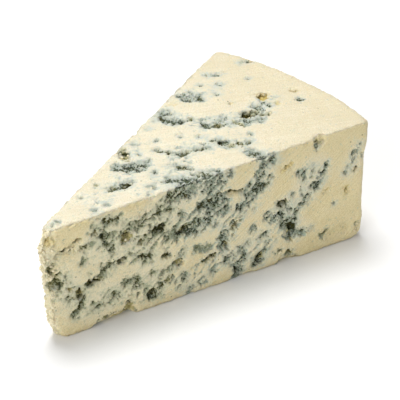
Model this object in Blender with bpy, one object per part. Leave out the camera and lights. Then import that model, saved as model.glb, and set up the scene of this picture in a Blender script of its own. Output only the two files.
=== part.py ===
"""A wedge of blue cheese, cut from a flat round wheel and lying on the wheel's flat side.

The two cut sides meet at a worn, blunt tip at -X, and the rind is the curved side at +X.
The origin is under the middle of the wedge, on the surface that it rests on, with +Z up.
"""
import math
from enum import IntEnum
from typing import NamedTuple

import bmesh
import bpy
from mathutils import Matrix, Vector, noise

MM = 0.001

# Driving dimensions
WHEEL_RADIUS = 111.4 * MM
WEDGE_ANGLE = math.radians(32.1)
RIM_HEIGHT = 40.7 * MM
TIP_HEIGHT = 37.3 * MM
TIP_SETBACK_TOP = 3.8 * MM
TIP_SETBACK_BASE = 7.0 * MM

# Rounding of the edges
RIND_CORNER_ROUND = 2.4 * MM
RIM_ROUND = 1.7 * MM
BASE_RIM_ROUND = 3.2 * MM
CUT_EDGE_ROUND = 0.7 * MM
TIP_EDGE_ROUND = 1.2 * MM
TIP_CAP_ROUND = 1.0 * MM
TIP_BASE_ROUND = 2.0 * MM
TIP_LOSS_ROUND = 2.4 * MM
RIM_REACH = 5.0 * MM

# The rind leans in between its two rims
RIND_WAIST = 1.0 * MM
UPPER_RIM_FOOT = 28.0 * MM
UPPER_RIM_FULL = 33.5 * MM
RIM_DRIFT = 3.5 * MM
LOWER_RIM_SWELL = 0.5 * MM
LOWER_RIM_HEIGHT = 7.5 * MM
LOWER_RIM_REACH = 5.0 * MM

# How uneven the faces are, and over what distance
CUT_UNEVEN = 0.35 * MM
TOP_UNEVEN = 0.40 * MM
RIND_UNEVEN = 0.50 * MM
UNEVEN_REACH = 14.0 * MM
UNEVEN_ROUGHNESS = 0.8
UNEVEN_LACUNARITY = 2.1
UNEVEN_OCTAVES = 2
EDGE_WEAR_LEAST = 0.5
EDGE_WEAR_SPAN = 1.4

# How much finer than the faces the tip and the edges wear, and how much slower the rims drift
TIP_FINENESS = 3
EDGE_FINENESS = 2.5
DRIFT_FINENESS = 0.5

# Lumps on the inside of a hollow: their share of its size, and how many fit across it
HOLLOW_LUMPS = 0.35
HOLLOW_LUMP_PITCH = 1.3
HOLLOW_SUBDIVISIONS = 3

# Mesh fineness: the form is worked on small even cells, then thinned to a set number of triangles
ARC_STEPS = 32
CELL = 0.9 * MM
WEAR_PASSES = 3
WEAR_STEP = 0.02 * MM
WEAR_LEAST_SLOPE = 0.25
TRIANGLES = 8000
FLAT_TOLERANCE = 0.06 * MM

# The paste's look
PASTE_COLOUR = (0.80, 0.73, 0.52, 1)
PASTE_ROUGHNESS = 0.55

HALF_ANGLE = WEDGE_ANGLE / 2
TOP_SLOPE = (RIM_HEIGHT - TIP_HEIGHT) / WHEEL_RADIUS


class Pattern(IntEnum):
    """One even random field for each thing that wears unevenly."""

    FRONT = 3
    TIP = 5
    BACK = 11
    RIND = 23
    TOP = 31
    EDGE = 41
    DRIFT = 53


class Wear(NamedTuple):
    """How far each face has worn back at a point, how round its edges are, and the rims' drift."""

    front: float
    back: float
    tip: float
    rind: float
    top: float
    edge_round: float
    drift: float


class Hollow(NamedTuple):
    """A broken-out hole in a face: where it is, how big it is, and how it is turned.

    Sizes are full widths in millimetres; depth is how far it reaches under the face.
    """

    along: float
    across: float
    length: float
    width: float
    depth: float
    turn: float = 0.0


# Places on the front cut: distance from the wheel's axis, then height
FRONT_HOLLOWS = (
    Hollow(12.7, 29.9, 7.4, 2.2, 2.2, 24),
    Hollow(8.6, 18.8, 5.4, 2.6, 1.8, -6),
    Hollow(15.9, 13.2, 5.0, 2.4, 2.8, 84),
    Hollow(20.2, 15.9, 6.0, 2.0, 2.4, -2),
    Hollow(29.2, 19.8, 3.2, 2.4, 2.2, 20),
    Hollow(31.0, 26.5, 4.2, 3.0, 2.6, 25),
    Hollow(35.0, 24.0, 3.0, 2.2, 2.0, 80),
    Hollow(38.4, 5.0, 4.4, 3.4, 1.8, 40),
    Hollow(41.4, 26.3, 5.0, 2.3, 2.0, 5),
    Hollow(43.1, 16.6, 3.4, 2.2, 2.2, 10),
    Hollow(47.4, 12.4, 3.8, 2.9, 1.8, -30),
    Hollow(49.6, 23.7, 6.8, 2.8, 2.0, 8),
    Hollow(57.2, 10.7, 5.0, 1.8, 1.8, 24),
    Hollow(63.8, 30.8, 7.0, 1.8, 1.8, 4),
    Hollow(81.2, 21.2, 3.4, 2.6, 2.3, 20),
    Hollow(84.4, 11.0, 5.4, 3.4, 1.7, 70),
    Hollow(74.4, 4.8, 5.0, 3.8, 1.6, 40),
)

# Chips out of the front cut's lower and upper edges
FRONT_EDGE_CHIPS = (
    Hollow(25.6, -0.6, 12.0, 5.8, 2.8, 3),
    Hollow(31.1, 1.0, 8.6, 3.6, 3.0, 82),
    Hollow(69.6, -0.4, 7.4, 2.8, 1.6, 0),
    Hollow(83.6, -0.4, 8.0, 4.4, 1.9, 3),
    Hollow(101.5, 4.2, 10.0, 5.4, 1.5, 12),
    Hollow(38.8, 37.9, 3.8, 2.6, 2.2, 10),
    Hollow(57.0, 38.9, 9.0, 2.4, 1.5, 2),
    Hollow(78.0, 39.2, 3.4, 2.8, 1.8, 0),
    Hollow(94.0, 38.6, 3.2, 4.6, 2.2, 85),
)

# Places on the top: distance along the front cut, then distance in from it
TOP_HOLLOWS = (
    Hollow(35.5, 8.9, 3.4, 2.3, 2.0, 5),
    Hollow(40.0, 15.8, 4.6, 3.0, 1.9, 20),
    Hollow(41.9, 22.4, 6.4, 2.4, 3.0, 80),
    Hollow(50.0, 31.6, 3.2, 2.6, 2.2, 30),
    Hollow(60.4, 32.8, 3.0, 2.2, 1.9, 60),
    Hollow(64.6, 29.0, 3.2, 2.4, 2.1, 10),
    Hollow(63.9, 34.6, 3.0, 2.2, 1.9, 45),
    Hollow(69.0, 13.4, 3.8, 2.1, 2.0, -40),
    Hollow(73.2, 21.7, 3.2, 2.4, 2.9, -15),
    Hollow(72.2, 38.2, 3.4, 2.6, 2.2, 20),
    Hollow(83.2, 22.1, 5.0, 2.5, 2.4, -12),
    Hollow(81.4, 29.6, 2.8, 2.0, 1.3, 10),
    Hollow(87.6, 19.3, 3.5, 2.1, 1.9, -15),
    Hollow(91.9, 28.0, 4.8, 3.5, 2.0, -20),
    Hollow(93.0, 22.4, 2.8, 2.2, 1.8, 0),
    Hollow(101.3, 26.0, 4.0, 2.0, 1.6, -30),
)

# Places on the back cut: distance from the wheel's axis, then height
BACK_HOLLOWS = (
    Hollow(17.0, 24.5, 5.0, 2.4, 2.1, 60),
    Hollow(24.0, 9.0, 4.2, 3.0, 2.3, 20),
    Hollow(33.5, 28.5, 6.6, 2.2, 2.1, -15),
    Hollow(39.0, 15.0, 3.8, 2.8, 2.4, 40),
    Hollow(51.0, 30.5, 4.0, 3.0, 1.9, 10),
    Hollow(55.5, 11.0, 6.6, 2.1, 2.2, 35),
    Hollow(62.0, 21.5, 4.6, 3.4, 2.4, 65),
    Hollow(73.0, 8.5, 3.8, 2.5, 1.9, 0),
    Hollow(78.5, 29.0, 5.4, 2.7, 2.2, -30),
    Hollow(88.0, 17.5, 4.2, 2.6, 2.0, 75),
    Hollow(98.0, 27.0, 3.4, 2.3, 1.7, 20),
)

# Chips out of the back cut's lower and upper edges
BACK_EDGE_CHIPS = (
    Hollow(29.0, -0.4, 9.0, 4.2, 2.2, 0),
    Hollow(64.0, -0.4, 10.0, 3.6, 1.9, 2),
    Hollow(91.0, -0.5, 7.0, 3.2, 1.8, 0),
    Hollow(66.0, 38.9, 6.0, 2.4, 1.6, 4),
)

# Lumps lost from the tip: distance from the axis, height, and the radius of the loss
TIP_LOSSES = (
    (3.2 * MM, 36.4 * MM, 3.0 * MM),
    (3.6 * MM, 15.6 * MM, 1.7 * MM),
    (5.4 * MM, 0.2 * MM, 3.4 * MM),
)


def smooth_max(first, second, blend):
    """The larger of two distances, with the crease between them rounded over blend."""
    near = max(blend - abs(first - second), 0.0) / blend
    return max(first, second) + near * near * blend / 4


def ease(value):
    """0 below 0, 1 above 1, and a smooth step between."""
    value = min(max(value, 0.0), 1.0)
    return value * value * (3 - 2 * value)


def uneven(point, pattern):
    """A slow random field between 0 and 1, which is another one for each pattern."""
    place = point / UNEVEN_REACH + Vector((pattern, pattern * 0.37, -pattern))
    return 0.5 + 0.5 * noise.fractal(place, UNEVEN_ROUGHNESS, UNEVEN_LACUNARITY, UNEVEN_OCTAVES)


def top_height(x):
    """Height of the top face, which falls from the rim towards the tip."""
    return RIM_HEIGHT - TOP_SLOPE * (WHEEL_RADIUS - x)


def rind_radius(z, drift):
    """Distance of the rind from the wheel's axis at a height, with its rims drifting in height."""
    z += (drift - 0.5) * RIM_DRIFT
    waist = RIND_WAIST * (1 - ease((z - UPPER_RIM_FOOT) / (UPPER_RIM_FULL - UPPER_RIM_FOOT)))
    swell = LOWER_RIM_SWELL * (1 - ease(abs(z - LOWER_RIM_HEIGHT) / LOWER_RIM_REACH))
    return WHEEL_RADIUS - waist + swell


def wear_at(point):
    """The wear at a point."""
    edge_wear = EDGE_WEAR_LEAST + EDGE_WEAR_SPAN * uneven(point * EDGE_FINENESS, Pattern.EDGE)
    return Wear(
        front=CUT_UNEVEN * uneven(point, Pattern.FRONT),
        back=CUT_UNEVEN * uneven(point, Pattern.BACK),
        tip=CUT_UNEVEN * uneven(point * TIP_FINENESS, Pattern.TIP),
        rind=RIND_UNEVEN * uneven(point, Pattern.RIND),
        top=TOP_UNEVEN * uneven(point, Pattern.TOP),
        edge_round=CUT_EDGE_ROUND * edge_wear,
        drift=uneven(Vector((point.x, point.y, 0)) * DRIFT_FINENESS, Pattern.DRIFT),
    )


def depth_outside(point, wear):
    """Distance of a point outside the wedge's rounded, worn form; negative inside."""
    x, y, z = point
    slant = Vector((-math.sin(HALF_ANGLE), math.cos(HALF_ANGLE)))
    front = x * slant.x - y * slant.y + wear.front
    back = x * slant.x + y * slant.y + wear.back
    tip_lean = (TIP_SETBACK_TOP - TIP_SETBACK_BASE) / TIP_HEIGHT
    tip = TIP_SETBACK_BASE + tip_lean * z - x + wear.tip
    rind = math.hypot(x, y) - rind_radius(z, wear.drift) + wear.rind
    top = z - top_height(x) + wear.top

    sides = smooth_max(max(front, back), tip, TIP_EDGE_ROUND)
    sides = smooth_max(sides, rind, RIND_CORNER_ROUND)
    near_rind = ease(1 + rind / RIM_REACH)
    near_tip = ease(1 + tip / RIM_REACH)
    plain = wear.edge_round
    top_round = plain + (RIM_ROUND - plain) * near_rind + TIP_CAP_ROUND * near_tip
    base_round = plain + (BASE_RIM_ROUND - plain) * near_rind + TIP_BASE_ROUND * near_tip
    whole = smooth_max(sides, top, top_round)
    whole = smooth_max(whole, -z, base_round)
    for distance, height, radius in TIP_LOSSES:
        away = math.hypot(x - distance, z - height)
        whole = smooth_max(whole, radius - away, TIP_LOSS_ROUND)
    return whole


def wear_down(bm):
    """Bring in every vertex that lies outside the worn form, and leave the hollows alone."""
    steps = [axis * WEAR_STEP for axis in Matrix.Identity(3)]
    for vert in bm.verts:
        for _ in range(WEAR_PASSES):
            wear = wear_at(vert.co)
            value = depth_outside(vert.co, wear)
            if value <= 0:
                break
            rises = [depth_outside(vert.co + step, wear) - value for step in steps]
            slope = Vector(rises) / WEAR_STEP
            vert.co = vert.co - slope * (value / max(slope.length_squared, WEAR_LEAST_SLOPE))


def flatten_underside(bm):
    """Put every vertex that all but touches the ground exactly on it."""
    for vert in bm.verts:
        if vert.co.z < FLAT_TOLERANCE:
            vert.co.z = 0.0


def sharp_wedge():
    """The wedge with sharp edges: an arc spun for the rind, closed at the tip, and raised."""
    bm = bmesh.new()
    reach = Vector((WHEEL_RADIUS * math.cos(HALF_ANGLE), -WHEEL_RADIUS * math.sin(HALF_ANGLE), 0))
    start = bm.verts.new(reach)
    bmesh.ops.spin(bm, geom=[start], cent=(0, 0, 0), axis=(0, 0, 1), angle=WEDGE_ANGLE, steps=ARC_STEPS)
    arc = sorted(bm.verts, key=lambda vert: vert.co.y)
    tip = [bm.verts.new(end.co * (TIP_SETBACK_TOP / WHEEL_RADIUS)) for end in (arc[-1], arc[0])]
    outline = bm.faces.new(arc + tip)
    raised = bmesh.ops.extrude_face_region(bm, geom=[outline])
    for vert in (item for item in raised["geom"] if isinstance(item, bmesh.types.BMVert)):
        vert.co.z = top_height(vert.co.x)
    bmesh.ops.recalc_face_normals(bm, faces=bm.faces)
    return bm


def cut_frame(side):
    """Axes of a cut face: along it, up it, and out of it. side is -1 at the front, 1 at the back."""
    along = Vector((math.cos(HALF_ANGLE), side * math.sin(HALF_ANGLE), 0))
    outward = Vector((-math.sin(HALF_ANGLE), side * math.cos(HALF_ANGLE), 0))
    return along, Vector((0, 0, 1)), outward


def place_on_cut(hollow, side):
    """A matrix that puts a unit ball where a hollow lies on a cut face."""
    along, up, outward = cut_frame(side)
    centre = (along * hollow.along + up * hollow.across) * MM
    return hollow_matrix(hollow, centre, along, up, outward)


def place_on_top(hollow):
    """A matrix that puts a unit ball where a hollow lies on the top face."""
    along, _, outward = cut_frame(-1)
    inward = -outward
    centre = (along * hollow.along + inward * hollow.across) * MM
    centre.z = top_height(centre.x)
    return hollow_matrix(hollow, centre, along, inward, Vector((0, 0, 1)))


def hollow_matrix(hollow, centre, first, second, outward):
    """Scale a unit ball to a hollow's size, turn it in its face and move it to its place."""
    turn = math.radians(hollow.turn)
    long_axis = first * math.cos(turn) + second * math.sin(turn)
    short_axis = second * math.cos(turn) - first * math.sin(turn)
    axes = Matrix((long_axis, short_axis, outward)).transposed().to_4x4()
    size = Matrix.Diagonal((hollow.length / 2 * MM, hollow.width / 2 * MM, hollow.depth * MM, 1))
    return Matrix.Translation(centre) @ axes @ size


def hollow_balls():
    """All the hollows and chips as lumpy balls in one bmesh."""
    places = [place_on_cut(hollow, -1) for hollow in FRONT_HOLLOWS + FRONT_EDGE_CHIPS]
    places += [place_on_top(hollow) for hollow in TOP_HOLLOWS]
    places += [place_on_cut(hollow, 1) for hollow in BACK_HOLLOWS + BACK_EDGE_CHIPS]
    bm = bmesh.new()
    for place in places:
        ball = bmesh.ops.create_icosphere(bm, subdivisions=HOLLOW_SUBDIVISIONS, radius=1.0)["verts"]
        for vert in ball:
            spot = vert.co * HOLLOW_LUMP_PITCH + place.translation / UNEVEN_REACH
            vert.co = place @ (vert.co * (1 + HOLLOW_LUMPS * noise.noise(spot)))
    bmesh.ops.recalc_face_normals(bm, faces=bm.faces)
    return bm


def cheese_material():
    """Cream-coloured cheese with a dull, slightly moist surface."""
    material = bpy.data.materials.new("cheese_paste")
    material.use_nodes = True
    shader = material.node_tree.nodes["Principled BSDF"]
    shader.inputs["Base Color"].default_value = PASTE_COLOUR
    shader.inputs["Roughness"].default_value = PASTE_ROUGHNESS
    shader.inputs["Metallic"].default_value = 0.0
    return material


def link_object(name, bm):
    """A new object in the scene from a bmesh, which is freed."""
    mesh = bpy.data.meshes.new(name)
    bm.to_mesh(mesh)
    bm.free()
    made = bpy.data.objects.new(name, mesh)
    bpy.context.scene.collection.objects.link(made)
    return made


def settle_modifiers(made):
    """A bmesh of an object as its modifiers leave it; the modifiers are then removed."""
    depsgraph = bpy.context.evaluated_depsgraph_get()
    mesh = bpy.data.meshes.new_from_object(made.evaluated_get(depsgraph))
    made.modifiers.clear()
    bm = bmesh.new()
    bm.from_mesh(mesh)
    bpy.data.meshes.remove(mesh)
    return bm


def carve_hollows(wedge, cutter):
    """Cut the hollows out of the wedge and remake its surface in small even cells."""
    carve = wedge.modifiers.new("hollows", "BOOLEAN")
    carve.operation = "DIFFERENCE"
    carve.solver = "EXACT"
    carve.use_self = True
    carve.object = cutter
    cells = wedge.modifiers.new("cells", "REMESH")
    cells.mode = "VOXEL"
    cells.voxel_size = CELL
    return settle_modifiers(wedge)


def thin_out(wedge):
    """Keep only the triangles that the form needs."""
    wedge.data.calc_loop_triangles()
    thin = wedge.modifiers.new("thin", "DECIMATE")
    thin.ratio = TRIANGLES / len(wedge.data.loop_triangles)
    thin.use_collapse_triangulate = True
    return settle_modifiers(wedge)


def centre_on_origin(bm):
    """Move the wedge so that the middle of its box stands over the origin."""
    for axis in range(2):
        low = min(vert.co[axis] for vert in bm.verts)
        high = max(vert.co[axis] for vert in bm.verts)
        for vert in bm.verts:
            vert.co[axis] -= (low + high) / 2


def main():
    """Clear the scene and build the wedge."""
    for old in list(bpy.data.objects):
        bpy.data.objects.remove(old)
    wedge = link_object("cheese_wedge", sharp_wedge())
    cutter = link_object("hollow_cutter", hollow_balls())
    form = carve_hollows(wedge, cutter)
    bpy.data.objects.remove(cutter)
    wear_down(form)
    flatten_underside(form)
    form.to_mesh(wedge.data)
    form.free()
    form = thin_out(wedge)
    flatten_underside(form)
    centre_on_origin(form)
    form.to_mesh(wedge.data)
    form.free()
    wedge.data.materials.append(cheese_material())


main()
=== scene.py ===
"""Looks of a wedge of blue cheese: its paste, mould veins, broken pits, rind, grains and crumbs.

The wedge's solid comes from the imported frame.  A copy of it is remade in fine cells, and the veins
and pits are then worked into that copy from places given on the wedge's own faces, in millimetres.
"""
import logging
import math
from dataclasses import dataclass, field
from enum import Enum

import bmesh
import bpy
import numpy as np
from mathutils import Matrix, Vector
from mathutils.bvhtree import BVHTree


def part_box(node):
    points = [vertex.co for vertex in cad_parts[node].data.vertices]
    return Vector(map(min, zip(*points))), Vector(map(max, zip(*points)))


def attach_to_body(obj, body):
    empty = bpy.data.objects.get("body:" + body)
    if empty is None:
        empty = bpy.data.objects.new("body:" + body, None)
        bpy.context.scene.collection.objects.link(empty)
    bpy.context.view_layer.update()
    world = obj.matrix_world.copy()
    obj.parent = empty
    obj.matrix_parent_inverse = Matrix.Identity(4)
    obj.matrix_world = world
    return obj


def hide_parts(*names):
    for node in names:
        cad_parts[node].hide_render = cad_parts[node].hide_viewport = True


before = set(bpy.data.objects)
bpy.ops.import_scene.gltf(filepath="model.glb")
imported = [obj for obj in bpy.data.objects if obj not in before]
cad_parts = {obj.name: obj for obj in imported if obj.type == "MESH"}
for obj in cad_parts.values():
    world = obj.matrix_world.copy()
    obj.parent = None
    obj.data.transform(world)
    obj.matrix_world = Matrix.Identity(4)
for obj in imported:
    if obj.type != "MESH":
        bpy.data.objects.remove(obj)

MM = 0.001
SOLID = "cheese_wedge"
BODY = "root"
SEAT_SEED = 5
# More than any distance that is compared with it
FAR = 9.0
# What the cheese's material reads from its vertices
MATERIAL_FIELDS = ("top", "mould", "dark", "stain", "pale", "rough", "green", "olive", "amber", "lip", "deep",
                   "pit", "hollow", "tone", "ripe", "rind", "run", "across")
log = logging.getLogger("cheese")


class Face(Enum):
    """The faces of the wedge that places are given on."""

    FRONT = "front cut"
    BACK = "back cut"
    TOP = "top"
    UNDER = "underside"


class Tint(Enum):
    """What colours a patch or a pit."""

    SLATE = "blue-grey mould"
    GREEN = "dull green mould"
    # Olive pits and ledges are partly painted shade: the olive there stands for the shade in them as well as
    # for old mould
    OLIVE = "olive-brown old mould"
    AMBER = "yellow-brown paste"
    BROKEN = "crumbled paste with no mould"


SLATE, GREEN, OLIVE, AMBER, BROKEN = Tint

# How much each kind stains the paste round it, and how much mould it holds itself
STAINING = {SLATE: 1.0, GREEN: 0.8, OLIVE: 0.45, AMBER: 0.0, BROKEN: 0.0}
MOULDING = {SLATE: 1.0, GREEN: 1.0, OLIVE: 0.7, AMBER: 0.0, BROKEN: 0.0}


@dataclass(frozen=True)
class Patch:
    """A streak or spot of mould on a face.

    line holds the points of its middle line, in millimetres on its face; half is half its width,
    dark is how much of it is dark flecks, over 1 for a small dark spot, and full how thickly it grows.
    """

    line: tuple
    half: float
    dark: float = 0.6
    tint: Tint = SLATE
    full: float = 1.0


@dataclass(frozen=True)
class Pit:
    """A broken-out hole in a face: its place, size and turn, in millimetres and degrees."""

    along: float
    across: float
    length: float
    width: float
    depth: float
    turn: float = 0.0
    tint: Tint = OLIVE


@dataclass(frozen=True)
class Ledge:
    """A line on the front cut below which the face is set back, all in millimetres.

    line runs from the tip towards the rind; depth is how far back, and fade how soon it is level again.
    """

    line: tuple
    depth: float
    fade: float


def streak(half: float, dark: float, *line: tuple, tint: Tint = SLATE) -> Patch:
    """A patch along a line of points."""
    return Patch(line, half, dark, tint)


def crumbled(half: float, *line: tuple) -> Patch:
    """A strip where the paste is broken but clean."""
    return Patch(line, half, 0.0, BROKEN, 0.45)


def spot(along: float, across: float, half: float, dark: float = 0.6, tint: Tint = SLATE) -> Patch:
    """A round patch."""
    return Patch(((along, across),), half, dark, tint)


def haze(half: float, full: float, *line: tuple) -> Patch:
    """A wide, thin growth of mould."""
    return Patch(line, half, 0.6, SLATE, full)


# Places on the front cut: distance along it from the wheel's axis, then height.
FRONT_TIP = (
    streak(1.5, 0.75, (24.2, 34.6), (26.0, 34.2), (27.8, 34.6)),
    spot(22.5, 32.7, 0.8, 0.5),
    spot(23.6, 29.9, 1.9, 0.7),
    streak(1.0, 0.5, (23.8, 28.8), (25.6, 26.2), (26.3, 24.2)),
    streak(0.75, 0.5, (21.8, 17.2), (23.6, 18.4), (25.5, 19.5), (27.4, 19.7), (29.2, 19.8), (31.0, 21.0)),
    haze(0.9, 0.55, (17.0, 22.9), (17.6, 24.6)),
    Patch(((7.9, 24.8), (7.7, 22.4), (9.0, 20.4)), 1.9, 0.1, OLIVE, 0.7),
    streak(0.9, 0.3, (5.2, 18.7), (7.4, 18.5), (8.6, 18.5), tint=OLIVE),
    streak(0.9, 0.6, (9.4, 18.6), (11.4, 18.8), tint=GREEN),
    spot(11.5, 21.0, 0.7, 0.5),
    spot(9.7, 17.2, 0.7, 0.7, tint=GREEN),
    spot(12.7, 16.0, 1.0, 0.8, tint=OLIVE),
    spot(11.8, 13.7, 0.6, 0.5),
    spot(12.4, 12.2, 0.6, 0.5),
    streak(0.5, 0.5, (19.5, 28.8), (21.5, 28.8)),
    streak(0.7, 0.6, (17.2, 28.2), (18.8, 27.8), tint=OLIVE),
    streak(1.2, 0.8, (15.9, 14.2), (16.4, 11.4), (16.2, 9.2), (15.2, 7.7), (14.3, 6.8)),
    streak(0.7, 0.4, (17.7, 15.3), (19.6, 16.0), (21.5, 16.0), (23.0, 15.3), tint=OLIVE),
    spot(19.6, 6.6, 0.9, 0.6),
    streak(0.5, 0.5, (19.8, 6.7), (21.3, 7.2), (23.0, 7.4)),
    streak(0.35, 0.8, (9.6, 28.3), (12.3, 28.8), (13.9, 29.5), (15.0, 30.4), (16.2, 31.6), tint=OLIVE),
    spot(7.0, 33.4, 1.8, 0.25, tint=AMBER),
)
FRONT_LOWER = (
    streak(1.8, 0.3, (30.6, 12.0), (33.4, 11.2)),
    streak(0.8, 0.2, (33.4, 11.2), (34.8, 10.0)),
    spot(27.3, 9.0, 1.6, 0.5),
    streak(0.6, 0.4, (24.8, 10.1), (26.0, 9.4)),
    spot(38.6, 5.0, 2.0, 0.85),
    streak(0.7, 0.5, (40.0, 5.8), (41.0, 6.3), (42.0, 7.0)),
    spot(39.0, 12.7, 0.9, 0.6),
    streak(0.9, 0.35, (41.0, 10.5), (43.5, 11.8), (46.5, 13.0)),
    streak(0.8, 0.7, (49.3, 16.9), (48.0, 15.8)),
    streak(1.6, 0.3, (53.4, 15.2), (56.6, 14.8), tint=GREEN),
    spot(49.2, 7.0, 1.3, 0.6),
    spot(55.3, 3.6, 1.3, 0.7),
    spot(58.7, 5.9, 0.9, 0.2),
    streak(0.8, 0.6, (51.2, 2.4), (50.6, 1.0), (50.0, 0.0)),
    spot(47.7, 3.5, 0.6, 0.6),
    streak(1.5, 0.85, (61.9, 13.0), (62.2, 15.0), (62.5, 16.6)),
    spot(63.3, 8.0, 1.6, 0.7),
    streak(1.8, 0.7, (66.4, 5.0), (66.6, 3.0), (66.8, 0.8)),
    spot(69.0, 6.8, 1.1, 0.6),
    spot(67.6, 10.3, 1.1, 0.6),
    streak(1.8, 0.85, (75.4, 6.2), (74.4, 4.8), (73.4, 3.6)),
    spot(80.5, 4.5, 1.0, 0.6, tint=OLIVE),
    spot(84.5, 3.0, 1.4, 0.7, tint=GREEN),
    spot(75.4, 12.4, 1.3, 0.6),
    spot(70.7, 11.5, 0.6, 0.5),
    spot(72.0, 15.8, 1.2, 0.6),
    spot(88.4, 8.8, 1.4, 0.75),
    spot(91.7, 9.5, 0.6, 0.5),
    streak(0.9, 0.3, (95.6, 5.0), (97.0, 6.5), tint=OLIVE),
    spot(108.0, 5.0, 0.9, 0.5, tint=OLIVE),
    streak(0.9, 0.4, (20.5, 0.6), (25.5, 2.2), (29.6, 1.6), (30.8, 4.4), (32.4, 0.6), tint=OLIVE),
    streak(0.8, 0.4, (80.0, 0.6), (83.5, 1.4), (87.0, 0.5), tint=OLIVE),
)
FRONT_MIDDLE = (
    streak(0.8, 0.7, (28.5, 29.3), (30.0, 28.8), (31.7, 29.0), (33.0, 29.5), (34.0, 30.6), (36.0, 30.3),
           (38.0, 31.0)),
    streak(0.6, 0.6, (30.0, 28.8), (30.0, 31.3)),
    streak(1.3, 0.85, (34.6, 19.3), (36.3, 18.6), (37.8, 19.0)),
    spot(36.3, 17.6, 0.8, 0.9),
    streak(1.0, 0.9, (39.1, 26.9), (40.5, 25.9), (42.0, 26.2), (42.4, 27.3)),
    streak(0.7, 0.7, (39.4, 26.4), (38.6, 24.8), (37.0, 23.8), (35.2, 24.2)),
    streak(0.8, 0.75, (40.7, 31.7), (41.5, 32.5), (42.7, 32.2), (44.6, 31.5)),
    streak(2.3, 0.5, (44.6, 35.0), (47.5, 35.9), (51.0, 35.6), (52.8, 37.0)),
    streak(1.6, 0.5, (48.0, 37.2), (51.0, 38.0)),
    spot(45.0, 34.2, 0.8, 0.9),
    spot(50.2, 34.2, 0.9, 1.0),
    spot(48.0, 29.0, 1.3, 0.7),
    streak(2.3, 0.6, (56.6, 38.4), (58.6, 36.6), (60.2, 36.0)),
    streak(1.2, 0.6, (57.5, 35.4), (57.5, 32.0)),
    streak(2.3, 0.7, (55.6, 29.2), (58.6, 29.4), (61.4, 27.8), (62.2, 25.6)),
    streak(1.2, 0.8, (57.4, 26.4), (57.0, 24.2), (56.0, 22.2)),
    spot(59.7, 21.4, 0.8, 0.7),
    streak(1.9, 0.85, (47.0, 22.9), (49.4, 22.9), (52.4, 22.2)),
    streak(1.4, 0.7, (51.0, 24.4), (53.6, 24.6)),
    spot(47.5, 12.5, 1.5, 0.5, tint=OLIVE),
    streak(0.6, 0.6, (29.9, 25.6), (30.3, 27.2), (31.6, 28.2), tint=OLIVE),
    spot(35.0, 24.0, 0.9, 0.6, tint=OLIVE),
    spot(36.7, 32.7, 1.1, 0.5, tint=OLIVE),
    spot(21.0, 31.5, 0.8, 0.5, tint=OLIVE),
    spot(39.2, 31.8, 0.6, 1.0),
    spot(43.8, 27.0, 0.5, 0.7, tint=OLIVE),
    spot(43.1, 16.6, 1.1, 0.9, tint=GREEN),
    spot(42.6, 19.4, 0.5, 0.6, tint=OLIVE),
    spot(44.0, 8.0, 1.4, 0.2, tint=OLIVE),
    streak(0.7, 0.6, (55.7, 10.0), (58.0, 11.0), (58.8, 11.3), tint=OLIVE),
    streak(0.7, 0.5, (64.3, 18.0), (66.2, 19.3), tint=OLIVE),
)
FRONT_RIND_END = (
    spot(68.0, 24.7, 2.4, 0.75),
    spot(64.6, 36.9, 0.8, 0.8),
    streak(0.8, 0.8, (93.2, 38.8), (93.0, 37.0), tint=GREEN),
    streak(1.0, 0.75, (75.0, 38.5), (74.0, 35.0), (73.5, 33.0), (72.8, 31.0)),
    streak(2.4, 0.7, (70.8, 29.2), (73.4, 29.8)),
    spot(76.3, 29.0, 1.2, 0.95, tint=GREEN),
    streak(1.0, 0.8, (77.4, 38.0), (78.6, 37.4), (77.7, 36.0)),
    spot(72.6, 22.3, 0.5, 0.6),
    streak(1.8, 0.75, (77.4, 18.4), (79.4, 17.4), (80.8, 17.4)),
    streak(1.0, 0.95, (80.4, 21.4), (81.6, 21.0), (83.0, 21.0), tint=GREEN),
    spot(82.2, 19.7, 0.7, 0.6),
    spot(84.3, 18.0, 0.6, 0.5),
    streak(2.2, 0.8, (83.2, 13.8), (84.4, 11.6), (84.8, 9.6)),
    spot(86.7, 11.5, 0.6, 0.6),
    spot(84.5, 7.5, 0.7, 0.7, tint=OLIVE),
    streak(0.7, 0.5, (87.0, 30.2), (88.0, 30.5), (88.7, 27.5)),
    spot(91.6, 30.8, 0.6, 0.5),
    spot(92.3, 29.0, 0.5, 0.5),
    streak(0.9, 0.85, (96.6, 29.8), (95.4, 27.4), (93.9, 24.5), (93.3, 23.0)),
    spot(91.4, 24.2, 0.6, 0.6),
    streak(0.9, 0.8, (89.8, 21.0), (89.0, 18.9), (87.3, 18.6), (86.6, 17.3), (86.0, 15.3), (85.7, 13.3)),
    spot(88.0, 23.6, 0.5, 0.6),
    spot(84.4, 23.9, 0.5, 0.6),
    streak(0.7, 0.75, (107.7, 33.0), (106.2, 31.0), (105.5, 29.2), (105.2, 27.7)),
    spot(103.3, 24.9, 0.6, 0.6),
    spot(109.2, 28.8, 0.5, 0.5),
    spot(99.6, 14.9, 0.5, 0.2),
    streak(0.9, 0.3, (81.6, 32.8), (83.0, 33.4), (84.3, 33.8), tint=AMBER),
    streak(0.3, 0.9, (82.2, 33.4), (83.8, 33.7), tint=OLIVE),
    streak(0.5, 0.3, (96.0, 21.1), (97.5, 21.0), tint=AMBER),
    streak(1.0, 0.1, (103.4, 17.4), (103.7, 20.0), tint=AMBER),
    streak(0.3, 0.7, (103.5, 18.2), (103.9, 19.4), tint=OLIVE),
    spot(106.5, 24.8, 0.7, 0.4, tint=OLIVE),
)

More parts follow.
